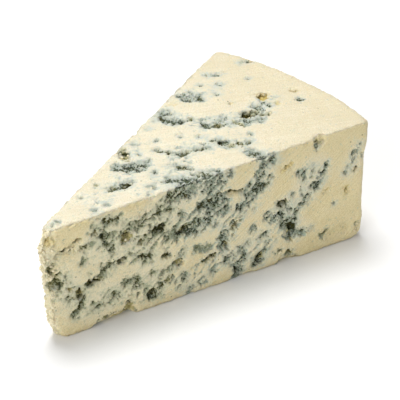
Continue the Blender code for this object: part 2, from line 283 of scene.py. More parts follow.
# Places on the top: distance along the front cut, then distance in from it.
TOP_TIP_HALF = (
    spot(22.0, 3.0, 0.9, 0.3),
    spot(26.7, 3.7, 0.8, 0.3),
    spot(11.5, 3.5, 0.6, 0.5, tint=GREEN),
    spot(9.6, 3.2, 0.5, 0.5, tint=GREEN),
    spot(22.0, 10.2, 0.7, 1.6, tint=GREEN),
    spot(28.4, 13.1, 0.9, 0.3, tint=OLIVE),
    streak(1.1, 1.4, (30.5, 9.5), (32.6, 9.2), tint=GREEN),
    streak(1.1, 0.9, (32.6, 9.2), (35.0, 8.6)),
    streak(1.0, 1.3, (35.4, 8.8), (37.4, 9.2), tint=GREEN),
    streak(2.0, 1.0, (37.6, 17.4), (40.0, 15.4), (42.6, 14.4), (44.0, 15.2)),
    streak(0.8, 0.5, (44.0, 15.4), (46.4, 16.3)),
    streak(1.1, 0.5, (41.4, 19.6), (41.8, 22.0), (43.0, 25.2), tint=OLIVE),
    spot(47.5, 25.8, 0.8, 0.6),
    spot(45.6, 20.4, 0.5, 0.6),
    streak(0.7, 0.6, (44.2, 9.6), (45.4, 10.2)),
    streak(0.8, 1.3, (51.4, 9.4), (53.0, 8.3), (55.0, 6.6), tint=GREEN),
    streak(1.5, 1.2, (46.6, 4.2), (49.4, 3.0), (51.2, 1.6), (52.0, 0.0)),
    streak(0.8, 1.0, (53.4, 3.6), (56.0, 2.6), (58.6, 2.4), tint=GREEN),
    streak(0.5, 0.5, (39.8, 3.7), (40.9, 3.8), tint=OLIVE),
)
TOP_MIDDLE = (
    streak(1.0, 1.5, (51.2, 19.4), (52.6, 17.6), (54.2, 15.6), (55.8, 14.4), (58.4, 14.4), (61.0, 13.8),
           tint=GREEN),
    streak(0.8, 0.8, (61.0, 13.8), (63.8, 13.0), tint=GREEN),
    streak(1.1, 1.3, (66.8, 15.3), (68.7, 13.6), (69.6, 11.6), tint=GREEN),
    streak(0.8, 0.6, (70.2, 11.0), (72.2, 10.6), (73.2, 8.8), tint=OLIVE),
    spot(69.2, 23.8, 1.8, 1.1),
    streak(1.0, 1.6, (70.6, 22.0), (73.4, 21.6), tint=GREEN),
    streak(0.8, 0.6, (74.2, 23.4), (75.8, 23.4)),
    spot(76.6, 19.6, 0.8, 0.3),
    streak(0.8, 0.7, (77.3, 20.6), (78.2, 17.6), tint=OLIVE),
    streak(1.6, 0.8, (60.4, 32.0), (61.8, 30.6), (64.4, 29.2)),
    streak(1.3, 0.9, (62.2, 35.4), (64.0, 33.6)),
    spot(60.4, 33.6, 1.0, 0.9),
    spot(67.2, 28.5, 0.7, 0.6, tint=OLIVE),
    spot(63.6, 36.6, 0.7, 0.6),
    spot(50.4, 30.6, 0.8, 0.6, tint=OLIVE),
    streak(1.9, 0.9, (71.4, 40.0), (73.4, 38.0), (75.4, 37.4)),
    spot(74.8, 41.2, 0.8, 0.6),
    spot(66.4, 37.9, 0.9, 0.1, tint=AMBER),
    spot(54.5, 30.4, 0.4, 0.5),
    spot(52.9, 23.6, 0.6, 1.6),
    spot(60.2, 22.2, 0.6, 1.6),
    spot(64.8, 19.3, 0.4, 0.5),
    spot(77.8, 12.4, 0.7, 1.5),
    spot(75.9, 9.2, 0.8, 1.5),
    streak(1.7, 0.8, (72.8, 4.6), (74.0, 3.0), (74.6, 0.6)),
)
TOP_RIND_END = (
    spot(83.5, 40.1, 0.8, 1.6),
    spot(80.8, 36.2, 0.5, 1.6),
    spot(78.8, 43.4, 0.5, 1.5),
    spot(83.4, 47.1, 0.7, 1.6, tint=GREEN),
    streak(0.4, 0.5, (83.6, 47.0), (85.8, 45.8), (88.0, 45.0)),
    spot(81.4, 29.6, 0.7, 0.7, tint=OLIVE),
    streak(1.2, 1.2, (81.4, 22.4), (83.4, 21.9), (85.2, 21.7), tint=OLIVE),
    spot(87.3, 23.7, 1.5, 1.1),
    spot(90.6, 22.7, 0.9, 1.1),
    spot(93.0, 22.4, 0.8, 0.3, tint=AMBER),
    streak(0.8, 1.2, (86.4, 19.6), (88.4, 19.0), tint=OLIVE),
    spot(91.8, 28.0, 1.7, 0.15, tint=AMBER),
    spot(91.0, 27.2, 0.6, 0.4, tint=OLIVE),
    spot(99.9, 21.1, 0.8, 1.6),
    streak(0.9, 0.8, (97.4, 48.2), (98.9, 47.5), tint=GREEN),
    spot(95.8, 47.6, 0.4, 0.5),
    spot(93.2, 38.9, 0.6, 0.15),
    streak(1.6, 0.05, (80.5, 18.5), (84.5, 17.5)),
)

FRONT_CRUMBLED = (
    crumbled(1.8, (4.4, 36.0), (4.2, 26.0), (4.6, 16.0), (6.4, 5.0)),
    crumbled(1.2, (8.0, 2.0), (14.0, 0.9), (20.0, 1.0), (25.0, 2.8), (30.0, 2.4)),
    crumbled(2.4, (28.0, 25.0), (33.0, 27.0), (38.0, 27.5), (44.0, 30.0)),
    crumbled(2.0, (45.0, 11.0), (49.0, 13.0)),
    crumbled(2.2, (56.0, 26.0), (60.0, 31.0), (64.0, 29.0)),
    crumbled(2.0, (93.0, 4.0), (98.0, 5.0), (104.0, 4.0), (108.0, 3.0)),
    crumbled(1.6, (107.5, 6.0), (108.5, 12.0), (108.5, 20.0)),
)
TOP_CRUMBLED = (
    crumbled(1.4, (52.0, 2.4), (56.0, 1.4), (61.0, 1.2)),
    crumbled(2.0, (6.0, 2.0), (12.0, 5.0), (20.0, 11.0)),
    crumbled(1.6, (28.0, 15.0), (38.0, 21.0), (46.0, 27.0)),
)

# Wide thin growth, which joins the veins up
FRONT_HAZE = (
    haze(7.0, 0.13, (9.0, 26.0), (20.0, 24.0), (30.0, 26.0)),
    haze(6.0, 0.12, (10.0, 10.0), (22.0, 9.0), (36.0, 12.0)),
    haze(5.0, 0.21, (9.0, 17.0), (17.0, 14.0), (24.0, 19.0), (31.0, 21.0), (38.0, 19.0)),
    haze(5.0, 0.26, (23.0, 33.0), (25.0, 27.0), (31.0, 29.0), (38.0, 30.0), (47.0, 35.0)),
    haze(5.5, 0.36, (37.0, 26.0), (45.0, 24.0), (53.0, 24.0), (58.0, 28.0), (60.0, 34.0)),
    haze(5.0, 0.21, (16.0, 8.0), (28.0, 9.0), (38.0, 6.0), (50.0, 6.0), (63.0, 9.0), (75.0, 6.0)),
    haze(4.5, 0.26, (62.0, 16.0), (68.0, 24.0), (74.0, 31.0), (77.0, 37.0)),
    haze(4.5, 0.20, (76.0, 9.0), (81.0, 17.0), (88.0, 20.0), (94.0, 27.0)),
    haze(2.5, 0.14, (88.0, 30.0), (92.0, 30.0)),
    haze(2.0, 0.14, (104.0, 26.0), (107.0, 33.0)),
)
TOP_HAZE = (
    haze(4.0, 0.22, (24.0, 6.0), (33.0, 10.0), (41.0, 16.0), (44.0, 24.0)),
    haze(3.0, 0.20, (38.0, 4.0), (46.0, 4.0), (53.0, 2.5), (60.0, 2.0)),
    haze(4.5, 0.24, (46.0, 5.0), (53.0, 10.0), (57.0, 15.0), (66.0, 15.0), (73.0, 10.0)),
    haze(4.5, 0.23, (58.0, 36.0), (62.0, 31.0), (67.0, 26.0), (74.0, 22.0), (86.0, 22.0), (92.0, 25.0)),
    haze(4.0, 0.17, (70.0, 41.0), (75.0, 37.0), (83.0, 40.0)),
)

# Lines on the front cut below which the face is set back, from the tip towards the rind
FRONT_LEDGES = (
    Ledge(((8.2, 28.9), (9.3, 29.4), (11.6, 29.6), (13.8, 30.7), (16.1, 31.7), (17.2, 32.2)), 0.9, 5.0),
    Ledge(((17.0, 14.0), (18.4, 15.4), (19.9, 16.3), (21.3, 16.2), (22.8, 15.0)), 0.8, 2.6),
    Ledge(((29.4, 27.6), (31.0, 27.9), (32.8, 27.2)), 0.6, 2.0),
    Ledge(((45.8, 13.4), (47.6, 13.6), (49.2, 12.8)), 0.5, 2.0),
    Ledge(((54.4, 9.8), (55.2, 10.3), (57.1, 11.0), (59.4, 11.5)), 0.7, 2.4),
    Ledge(((59.6, 31.4), (61.0, 31.8), (63.6, 31.3), (67.9, 30.7), (69.0, 30.4)), 0.8, 2.2),
    Ledge(((63.4, 18.0), (64.6, 19.0), (66.0, 20.1), (67.6, 21.2)), 0.5, 2.0),
    Ledge(((79.8, 21.9), (81.2, 22.3), (83.6, 21.6)), 0.7, 2.2),
    Ledge(((23.8, 2.8), (26.6, 3.4), (29.6, 2.6), (31.0, 5.0), (32.4, 3.4)), 0.6, 2.0),
)

FRONT_PATCHES = FRONT_TIP + FRONT_LOWER + FRONT_MIDDLE + FRONT_RIND_END + FRONT_CRUMBLED + FRONT_HAZE
TOP_PATCHES = TOP_TIP_HALF + TOP_MIDDLE + TOP_RIND_END + TOP_CRUMBLED + TOP_HAZE

# Broken pits, deepest where the paste has fallen out
FRONT_PITS = (
    Pit(16.0, 31.2, 1.8, 1.2, 0.6, 40),
    Pit(6.8, 18.6, 2.4, 0.8, 0.4, -4), Pit(10.4, 18.4, 1.8, 1.0, 0.6, -4, GREEN),
    Pit(12.7, 16.0, 1.4, 1.2, 0.8),
    Pit(15.9, 13.2, 3.8, 1.3, 1.0, 84, GREEN), Pit(15.4, 8.4, 3.6, 1.1, 0.7, 60, GREEN),
    Pit(20.4, 15.7, 5.0, 1.1, 0.6, -3), Pit(29.2, 19.9, 2.2, 1.6, 1.0, 20, GREEN),
    Pit(30.6, 26.9, 3.6, 1.5, 1.1, 58), Pit(35.0, 24.0, 2.4, 1.0, 0.9, 78),
    Pit(21.0, 31.5, 1.5, 1.2, 0.6), Pit(36.7, 32.7, 1.9, 1.4, 0.7, 20), Pit(39.2, 31.8, 1.1, 0.9, 0.9),
    Pit(38.2, 5.0, 2.6, 2.0, 0.9, 40, GREEN), Pit(41.3, 26.2, 3.6, 1.4, 1.0, 4, GREEN),
    Pit(43.1, 16.6, 2.3, 1.4, 1.2, 10, GREEN), Pit(47.4, 12.6, 3.0, 1.5, 0.9, -20),
    Pit(48.6, 22.8, 3.0, 1.7, 1.1, 8, GREEN), Pit(49.8, 24.0, 2.0, 1.0, 0.8, 0),
    Pit(52.4, 24.0, 1.8, 1.1, 0.8, 10), Pit(57.2, 10.7, 4.0, 0.9, 0.9, 22),
    Pit(65.2, 18.6, 2.4, 0.8, 0.7, 34),
    Pit(50.2, 34.2, 1.5, 1.2, 0.9, 0, SLATE), Pit(54.4, 28.9, 1.8, 1.3, 0.8, 10, GREEN),
    Pit(58.0, 29.8, 2.0, 1.3, 0.8, 60, GREEN), Pit(62.3, 26.2, 2.4, 1.2, 0.8, 70, SLATE),
    Pit(76.3, 29.0, 2.0, 1.5, 1.1, 20, GREEN), Pit(81.1, 21.2, 2.4, 1.2, 1.0, 10, GREEN),
    Pit(83.0, 21.0, 1.6, 1.0, 0.9), Pit(80.6, 17.5, 1.4, 1.1, 0.7, 0, SLATE),
    Pit(84.6, 10.4, 3.4, 1.7, 0.9, 74, SLATE), Pit(84.5, 7.5, 1.4, 1.0, 0.7),
    Pit(74.0, 4.4, 3.0, 2.0, 0.9, 44, SLATE), Pit(80.5, 4.5, 1.4, 1.1, 0.6),
    Pit(84.4, 3.0, 2.4, 1.7, 0.8, 20), Pit(82.9, 33.4, 2.4, 0.7, 0.3, 20, AMBER),
    Pit(96.8, 21.0, 1.6, 0.7, 0.25, 0, AMBER), Pit(103.6, 18.8, 2.4, 1.1, 0.3, 84, AMBER),
    Pit(97.0, 6.4, 2.0, 0.9, 0.6, 30), Pit(62.2, 13.4, 1.8, 1.2, 0.8, 60, SLATE),
    Pit(66.6, 3.0, 2.4, 1.5, 0.7, 80, SLATE), Pit(63.2, 8.0, 1.8, 1.3, 0.6, 30, SLATE),
    Pit(23.4, 29.6, 1.8, 1.3, 0.7, 30, SLATE), Pit(36.2, 18.6, 2.8, 1.2, 0.8, -10, SLATE),
    Pit(88.4, 8.8, 1.6, 1.2, 0.6, 0, SLATE), Pit(68.2, 24.4, 2.0, 1.4, 0.7, 60, SLATE),
    Pit(93.2, 38.0, 1.6, 1.2, 0.3, 80, GREEN), Pit(106.5, 24.8, 1.4, 1.0, 0.6),
)
TOP_PITS = (
    Pit(31.3, 9.4, 1.8, 1.2, 0.8, 0, SLATE), Pit(35.5, 8.9, 2.6, 1.4, 1.0, 5),
    Pit(41.6, 15.0, 1.3, 0.9, 0.6, 20, GREEN), Pit(38.2, 16.2, 1.1, 0.7, 0.5, 0, GREEN),
    Pit(43.4, 14.4, 1.2, 0.7, 0.5, 30, GREEN),
    Pit(53.0, 8.2, 3.4, 1.2, 0.9, -35), Pit(53.6, 16.4, 3.0, 0.9, 0.8, -50, GREEN),
    Pit(57.6, 14.4, 3.0, 1.0, 0.8, 0, GREEN), Pit(62.6, 13.3, 2.2, 1.0, 0.7, -10, AMBER),
    Pit(68.7, 13.7, 2.4, 1.2, 1.1, -50, SLATE), Pit(72.0, 10.7, 1.8, 1.0, 0.8, -10),
    Pit(69.0, 24.0, 1.6, 1.1, 0.7, 30, GREEN), Pit(73.1, 21.7, 2.2, 1.6, 1.5, -10, GREEN),
    Pit(77.8, 19.0, 2.2, 1.0, 0.8, -70), Pit(60.5, 33.4, 1.5, 1.0, 0.8, 40, GREEN),
    Pit(64.6, 29.1, 1.6, 1.1, 0.8, 10), Pit(63.8, 34.2, 1.9, 0.9, 0.7, 45), Pit(67.2, 28.5, 1.2, 0.9, 0.6),
    Pit(50.2, 31.0, 2.0, 1.6, 0.9, 30), Pit(72.4, 38.2, 1.5, 1.0, 0.7, 20, GREEN),
    Pit(75.4, 37.4, 1.2, 1.0, 0.7, 0, SLATE), Pit(83.5, 40.1, 1.1, 0.9, 0.6),
    Pit(83.4, 47.1, 1.2, 1.0, 0.7), Pit(81.4, 29.6, 1.8, 1.2, 0.6, 10),
    Pit(83.3, 22.0, 4.0, 1.4, 1.0, -12), Pit(87.0, 24.0, 2.0, 1.3, 0.7, 20, SLATE),
    Pit(93.0, 22.4, 1.5, 1.3, 0.8, 0, AMBER), Pit(87.5, 19.3, 2.6, 1.1, 0.8, -15),
    Pit(91.8, 28.0, 3.6, 2.6, 0.7, -20, AMBER), Pit(101.4, 25.8, 3.2, 1.0, 0.7, -30, AMBER),
    Pit(99.9, 21.1, 1.3, 1.0, 0.5, 0, SLATE), Pit(98.0, 47.9, 1.9, 1.2, 0.8, 0, GREEN),
    Pit(73.6, 3.2, 2.4, 1.5, 0.7, -60, SLATE), Pit(77.8, 12.4, 1.0, 0.8, 0.5, 0, SLATE),
    Pit(75.9, 9.2, 1.1, 0.9, 0.5, 0, SLATE),
)


class Noise:
    """Smooth random fields over points in space, the same on every run."""

    TABLE = 4096
    PRIMES = (73856093, 19349663, 83492791)
    SCRAMBLE = 1274126177
    SEED_STEP = 7919
    LAYER_SHIFT = 17.3
    GAIN = 1.6

    def __init__(self, seed: int) -> None:
        """Draw the table of random directions.

        Args:
            seed: what the table is drawn from.
        """
        draw = np.random.default_rng(seed)
        ways = draw.normal(size=(self.TABLE, 3))
        self.ways = ways / np.linalg.norm(ways, axis=1)[:, None]
        self.draws = draw.random((self.TABLE, 4))
        self.seed = seed

    def _pick(self, corner: np.ndarray) -> np.ndarray:
        """The table row of each lattice corner."""
        mixed = corner[:, 0] * self.PRIMES[0] ^ corner[:, 1] * self.PRIMES[1] ^ corner[:, 2] * self.PRIMES[2]
        mixed = (mixed ^ (mixed >> 13)) * self.SCRAMBLE + self.seed * self.SEED_STEP
        return ((mixed ^ (mixed >> 16)) & (self.TABLE - 1)).astype(int)

    def smooth(self, points: np.ndarray, reach: float) -> np.ndarray:
        """Gradient noise of about -1 to 1.

        Args:
            points: places, one row each.
            reach: the distance over which it changes, in the points' unit.

        Returns:
            One value for each point.
        """
        place = points / reach
        base = np.floor(place).astype(np.int64)
        part = place - base
        ease = part * part * part * (part * (part * 6 - 15) + 10)
        total = np.zeros(len(points))
        for corner in np.ndindex(2, 2, 2):
            way = self.ways[self._pick(base + corner)]
            value = np.einsum("ij,ij->i", way, part - corner)
            share = np.prod(np.where(np.array(corner) == 1, ease, 1 - ease), axis=1)
            total += value * share
        return total * self.GAIN

    def fractal(self, points: np.ndarray, reach: float, octaves: int = 3) -> np.ndarray:
        """Several layers of smooth noise, each half as wide and half as strong as the last.

        Args:
            points: places, one row each.
            reach: the distance over which the widest layer changes.
            octaves: how many layers.

        Returns:
            One value for each point.
        """
        total = np.zeros(len(points))
        for layer in range(octaves):
            total += self.smooth(points + self.LAYER_SHIFT * layer, reach / 2**layer) / 2**layer
        return total / self.GAIN

    def warp(self, points: np.ndarray, reach: float, amount: float) -> np.ndarray:
        """The points, each pushed in a smooth random direction.

        Args:
            points: places, one row each.
            reach: the distance over which the push changes.
            amount: about the farthest that a point is pushed.

        Returns:
            The new places.
        """
        offsets = ((0, 0, 0), (91.7, 13.1, 47.9), (-33.3, 71.2, 5.8))
        push = [self.smooth(points + np.array(offset), reach) for offset in offsets]
        return points + amount * np.stack(push, axis=1)

    def cells(self, points: np.ndarray, reach: float) -> "Cells":
        """Where points lie among crumbs that are packed together.

        Args:
            points: places, one row each.
            reach: the usual distance between crumbs.

        Returns:
            Each point's crumb.
        """
        place = points / reach
        base = np.floor(place).astype(np.int64)
        nearest = np.full(len(points), FAR)
        second = np.full(len(points), FAR)
        tag = np.zeros(len(points))
        middle = np.zeros((len(points), 3))
        for step in np.ndindex(3, 3, 3):
            cell = base + np.array(step) - 1
            row = self.draws[self._pick(cell)]
            toward = cell + row[:, :3] - place
            away = np.linalg.norm(toward, axis=1)
            closer = away < nearest
            second = np.where(closer, nearest, np.minimum(second, away))
            tag = np.where(closer, row[:, 3], tag)
            middle = np.where(closer[:, None], toward, middle)
            nearest = np.where(closer, away, nearest)
        return Cells(second - nearest, tag, middle * reach)


@dataclass(frozen=True)
class Cells:
    """How near each point is to the edge of its crumb, the crumb's own number, and the way to its middle."""

    gap: np.ndarray
    tag: np.ndarray
    middle: np.ndarray


def ramp(value: np.ndarray, low: float, high: float) -> np.ndarray:
    """0 at low, 1 at high, with a smooth step between."""
    share = np.clip((value - low) / (high - low), 0, 1)
    return share * share * (3 - 2 * share)


def fade(value: np.ndarray, low: float, high: float) -> np.ndarray:
    """1 at low, 0 at high, with a smooth step between."""
    return 1 - ramp(value, low, high)


@dataclass
class Form:
    """Where the wedge's faces lie, in metres, worked out from the solid's box."""

    low: Vector
    high: Vector
    half_angle: float = math.radians(32.1) / 2
    rind_reach: float = 111.08 * MM
    rim_height: float = 40.5 * MM
    top_slope: float = 3.4 / 111.4
    tip_reach: float = 7 * MM
    tip_end: float = 12 * MM
    along: dict = field(init=False)

    def __post_init__(self) -> None:
        """Work out the wheel's axis and the direction of each cut."""
        self.axis = Vector((self.high.x - self.rind_reach, (self.low.y + self.high.y) / 2, 0))
        cos, sin = math.cos(self.half_angle), math.sin(self.half_angle)
        self.along = {Face.FRONT: Vector((cos, -sin, 0)), Face.BACK: Vector((cos, sin, 0))}
        self.outward = {
            Face.FRONT: Vector((-sin, -cos, 0)),
            Face.BACK: Vector((-sin, cos, 0)),
            Face.TOP: Vector((0, 0, 1)),
            Face.UNDER: Vector((0, 0, -1)),
        }

    def axes(self, face: Face) -> tuple:
        """The two directions that places on a face are measured along, and its outward one."""
        if face in (Face.FRONT, Face.BACK):
            return self.along[face], Vector((0, 0, 1)), self.outward[face]
        return self.along[Face.FRONT], -self.outward[Face.FRONT], self.outward[face]

    def array_axes(self, face: Face) -> tuple:
        """The same three directions, as arrays."""
        return tuple(np.array(way) for way in self.axes(face))

    def offsets(self, points: np.ndarray) -> np.ndarray:
        """The points as seen from the foot of the wheel's axis."""
        return points - np.array(self.axis)

    def reach(self, points: np.ndarray) -> np.ndarray:
        """How far each point is from the wheel's axis."""
        return np.hypot(points[:, 0] - self.axis.x, points[:, 1] - self.axis.y)

    def tip(self, points: np.ndarray) -> np.ndarray:
        """1 at the blunt tip of the wedge, and 0 well past it."""
        return fade(self.reach(points), self.tip_reach, self.tip_end)

    def top_height(self, x: float) -> float:
        """Height of the top at a place along the wedge."""
        return self.rim_height - self.top_slope * (self.rind_reach - (x - self.axis.x))

    def face_depths(self, points: np.ndarray) -> tuple:
        """How far each point lies under the wedge's plain faces.

        Args:
            points: places in metres, one row each.

        Returns:
            The distance under the nearest face, and under the next nearest, in metres.
        """
        offset = self.offsets(points)
        cuts = [-offset @ np.array(self.outward[face]) for face in (Face.FRONT, Face.BACK)]
        top = self.rim_height - self.top_slope * (self.rind_reach - offset[:, 0]) - points[:, 2]
        rind = self.rind_reach - self.reach(points)
        nearest, second = np.sort([*cuts, top, rind, points[:, 2]], axis=0)[:2]
        return nearest, second

    def place(self, face: Face, spot_mm: tuple) -> Vector:
        """A place on a face, from its two distances in millimetres."""
        first, second, _ = self.axes(face)
        here = self.axis + (first * spot_mm[0] + second * spot_mm[1]) * MM
        if face is Face.TOP:
            here.z = self.top_height(here.x)
        return here


@dataclass
class Marbling:
    """All mould patches and pits of the wedge, and the fields that they make over its surface."""

    form: Form
    seed: int = 11
    back_patches: int = 150
    under_patches: int = 75
    back_pits: float = 0.4
    warp_reach: float = 2.6 * MM
    warp_amount: float = 0.75 * MM
    fine_warp_reach: float = 0.95 * MM
    fine_warp_amount: float = 0.32 * MM
    stain_reach: float = 2.2 * MM
    pale_reach: float = 6.0 * MM
    pit_thickness: float = 2.5 * MM

    def __post_init__(self) -> None:
        """Gather the patches and pits of every face."""
        self.noise = Noise(self.seed)
        self.patches = [(Face.FRONT, patch) for patch in FRONT_PATCHES]
        self.patches += [(Face.TOP, patch) for patch in TOP_PATCHES]
        self.pits = [(Face.FRONT, pit) for pit in FRONT_PITS]
        self.pits += [(Face.TOP, pit) for pit in TOP_PITS]
        self._scatter_unseen()

    def _scatter_unseen(self) -> None:
        """Draw patches and pits for the back cut, as thick as on the front, and for the underside."""
        draw = np.random.default_rng(self.seed + 1)
        reach = self.form.rind_reach / MM
        for _ in range(self.back_patches):
            along, up = reach * math.sqrt(draw.uniform(0.004, 0.97)), draw.uniform(0.5, 34)
            self._draw_patch(draw, Face.BACK, (along, up), math.radians(draw.normal(118, 28)))
        for _ in range(self.under_patches):
            radius, angle = reach * math.sqrt(draw.uniform(0.01, 0.93)), draw.uniform(0.06, 0.94)
            turn = angle * self.form.half_angle * 2
            start = (radius * math.cos(turn), radius * math.sin(turn))
            self._draw_patch(draw, Face.UNDER, start, draw.uniform(0, math.pi))

    def _draw_patch(self, draw: np.random.Generator, face: Face, start: tuple, way: float) -> None:
        """Add one random patch, and on some of them a pit.

        Args:
            draw: the random draws.
            face: the face that it lies on.
            start: where it begins.
            way: the direction that it runs in.
        """
        half = float(np.clip(draw.gamma(4.0, 0.32), 0.45, 2.7))
        points = [start]
        for _ in range(draw.integers(0, 4)):
            way += draw.normal(0, 0.45)
            step = draw.uniform(1.2, 2.4)
            last = points[-1]
            points.append((last[0] + step * math.cos(way), last[1] + step * math.sin(way)))
        tint = draw.choice([SLATE, GREEN, OLIVE], p=[0.68, 0.14, 0.18])
        self.patches.append((face, Patch(tuple(points), half, draw.uniform(0.4, 0.9), tint)))
        if face is Face.BACK and draw.random() < self.back_pits:
            width = half * draw.uniform(0.9, 1.7)
            length, depth = width * draw.uniform(1.0, 2.0), draw.uniform(0.6, 1.3)
            self.pits.append((face, Pit(*points[-1], length, width, depth, math.degrees(way), tint)))

    def patch_fields(self, points: np.ndarray) -> dict:
        """How much of each kind of patch there is at each point, each from 0 to 1.

        Args:
            points: places in metres, one row each.

        Returns:
            "mould", "dark", "stain", "pale" and "rough", and the tints "green", "olive" and "amber".
        """
        warped = self.noise.warp(points, self.warp_reach, self.warp_amount)
        warped = self.noise.warp(warped, self.fine_warp_reach, self.fine_warp_amount)
        clear, whole = np.ones(len(points)), np.ones(len(points))
        names = ("mould", "dark", "rough", "green", "olive", "amber")
        found = {name: np.zeros(len(points)) for name in names}
        for face, patch in self.patches:
            line = [np.array(self.form.place(face, spot_mm)) for spot_mm in patch.line]
            reach = patch.half * MM
            margin = 1.6 * reach + self.pale_reach
            inside_box = (warped > np.min(line, axis=0) - margin) & (warped < np.max(line, axis=0) + margin)
            near = np.nonzero(np.all(inside_box, axis=1))[0]
            if not len(near):
                continue
            away = self._away_from_line(warped[near], line)
            inside = fade(away / reach, 0.15, 1.60)
            spread = fade(away, 0.3 * reach, reach + self.stain_reach)
            staining, moulding = STAINING[patch.tint], MOULDING[patch.tint]
            clear[near] *= 1 - spread * staining * patch.full * 0.7
            whole[near] *= 1 - 0.3 * fade(away, 0, reach + self.pale_reach) * staining
            self._raise(found["mould"], near, inside * moulding * patch.full)
            self._raise(found["dark"], near, inside * patch.dark * moulding)
            self._raise(found["rough"], near, np.maximum(inside, 0.6 * spread) * patch.full)
            if patch.tint.name.lower() in found:
                self._raise(found[patch.tint.name.lower()], near, inside)
        found["stain"], found["pale"] = 1 - clear, 1 - whole
        return found

    @staticmethod
    def _away_from_line(points: np.ndarray, line: list) -> np.ndarray:
        """How far each point is from a line of straight runs, or from its one place.

        Args:
            points: places in metres, one row each.
            line: the ends of its runs, in metres.

        Returns:
            One distance for each point.
        """
        away = np.full(len(points), FAR)
        for start, stop in zip(line, line[1:] or line):
            run = stop - start
            share = np.clip((points - start) @ run / max(run @ run, 1e-12), 0, 1)[:, None]
            away = np.minimum(away, np.linalg.norm(points - start - share * run, axis=1))
        return away

    @staticmethod
    def _raise(values: np.ndarray, rows: np.ndarray, new: np.ndarray) -> None:
        """Lift some values of a field to new ones that are higher."""
        values[rows] = np.maximum(values[rows], new)

    def pit_fields(self, points: np.ndarray) -> tuple:
        """How the pits shape and colour each point.

        Args:
            points: places in metres, one row each.

        Returns:
            How deep they are, in metres, how much each tint fills them, most on the upper side as painted
            shade, and their upper lips, painted dark as the shade under the overhang.
        """
        ragged = self.noise.warp(self.noise.warp(points, 1.4 * MM, 0.55 * MM), 0.7 * MM, 0.28 * MM)
        depth, lip = np.zeros(len(points)), np.zeros(len(points))
        tints = {tint: np.zeros(len(points)) for tint in Tint}
        for face, pit in self.pits:
            first, second, outward = self.form.array_axes(face)
            turn = math.radians(pit.turn)
            long_way = first * math.cos(turn) + second * math.sin(turn)
            short_way = second * math.cos(turn) - first * math.sin(turn)
            offset = ragged - np.array(self.form.place(face, (pit.along, pit.across)))
            near = np.nonzero(np.all(np.abs(offset) < (pit.length + 1.0) * MM, axis=1))[0]
            if not len(near):
                continue
            offset = offset[near]
            half_length, half_width = pit.length / 2 * MM, pit.width / 2 * MM
            flat = np.hypot(offset @ long_way / half_length, offset @ short_way / half_width)
            at_face = fade(np.abs(offset @ outward) / self.pit_thickness, 0.8, 1.2)
            raised = np.clip(offset @ second / half_width, -1, 1)
            inside = fade(flat, 0.60 + 0.25 * raised, 1.15) * at_face
            self._raise(depth, near, inside * pit.depth * MM * (1 + 0.4 * raised))
            # Painted shade: each tint is strongest on the pit's upper side, which lies in shade under the
            # light from above
            shaded = 0.35 + 0.65 * ramp(raised, -0.6, 0.3)
            self._raise(tints[pit.tint], near, inside * shaded)
            # Painted shade: a dark band along the upper rim, where the overhang throws shade, weaker in amber
            # pits
            rim = ramp(flat, 0.45, 0.80) * fade(flat, 0.95, 1.30) * ramp(raised, 0.1, 0.6)
            rim *= 0.3 if pit.tint is AMBER else 1.0
            self._raise(lip, near, rim * at_face)
        return depth, tints, lip

    def ledge_fields(self, points: np.ndarray) -> tuple:
        """How the ledges of the front cut shape each point.

        Args:
            points: places in metres, one row each.

        Returns:
            How far they set it back, in metres, and how near it is to a ledge's lip, which is painted dark,
            partly as mould and partly as the shade under the ledge.
        """
        first, second, outward = self.form.array_axes(Face.FRONT)
        offset = self.form.offsets(self.noise.warp(points, 1.3 * MM, 0.35 * MM)) / MM
        along, up = offset @ first, offset @ second
        there = fade(np.abs(offset @ outward), 2.0, 4.0)
        back, lip = np.zeros(len(points)), np.zeros(len(points))
        for ledge in FRONT_LEDGES:
            line = np.array(ledge.line)
            start, stop = line[0, 0], line[-1, 0]
            under = np.interp(along, line[:, 0], line[:, 1]) - up
            ends = ramp(along, start, start + 1.2) * fade(along, stop - 1.2, stop)
            step = ramp(under, 0.0, 0.35) * fade(under, 0.4, ledge.fade) * ends * there
            back = np.maximum(back, step * ledge.depth * MM)
            # Painted shade: a dark line just under each ledge's lip
            lip = np.maximum(lip, fade(np.abs(under - 0.25), 0.1, 0.6) * ends * there)
        return back, lip


def read_points(mesh: bpy.types.Mesh) -> np.ndarray:
    """The mesh's vertex places, one row each."""
    flat = np.empty(len(mesh.vertices) * 3)
    mesh.vertices.foreach_get("co", flat)
    return flat.reshape(-1, 3)


def read_normals(mesh: bpy.types.Mesh) -> np.ndarray:
    """The mesh's vertex normals, one row each."""
    flat = np.empty(len(mesh.vertices) * 3)
    mesh.vertex_normals.foreach_get("vector", flat)
    return flat.reshape(-1, 3)


def write_field(mesh: bpy.types.Mesh, name: str, values: np.ndarray) -> None:
    """Store one number for each vertex under a name that materials can read."""
    layer = mesh.attributes.new(name, "FLOAT", "POINT")
    layer.data.foreach_set("value", values.astype(np.float32))


def link_mesh(name: str, mesh: bpy.types.Mesh) -> bpy.types.Object:
    """A new object in the scene that shows a mesh."""
    made = bpy.data.objects.new(name, mesh)
    bpy.context.scene.collection.objects.link(made)
    return made


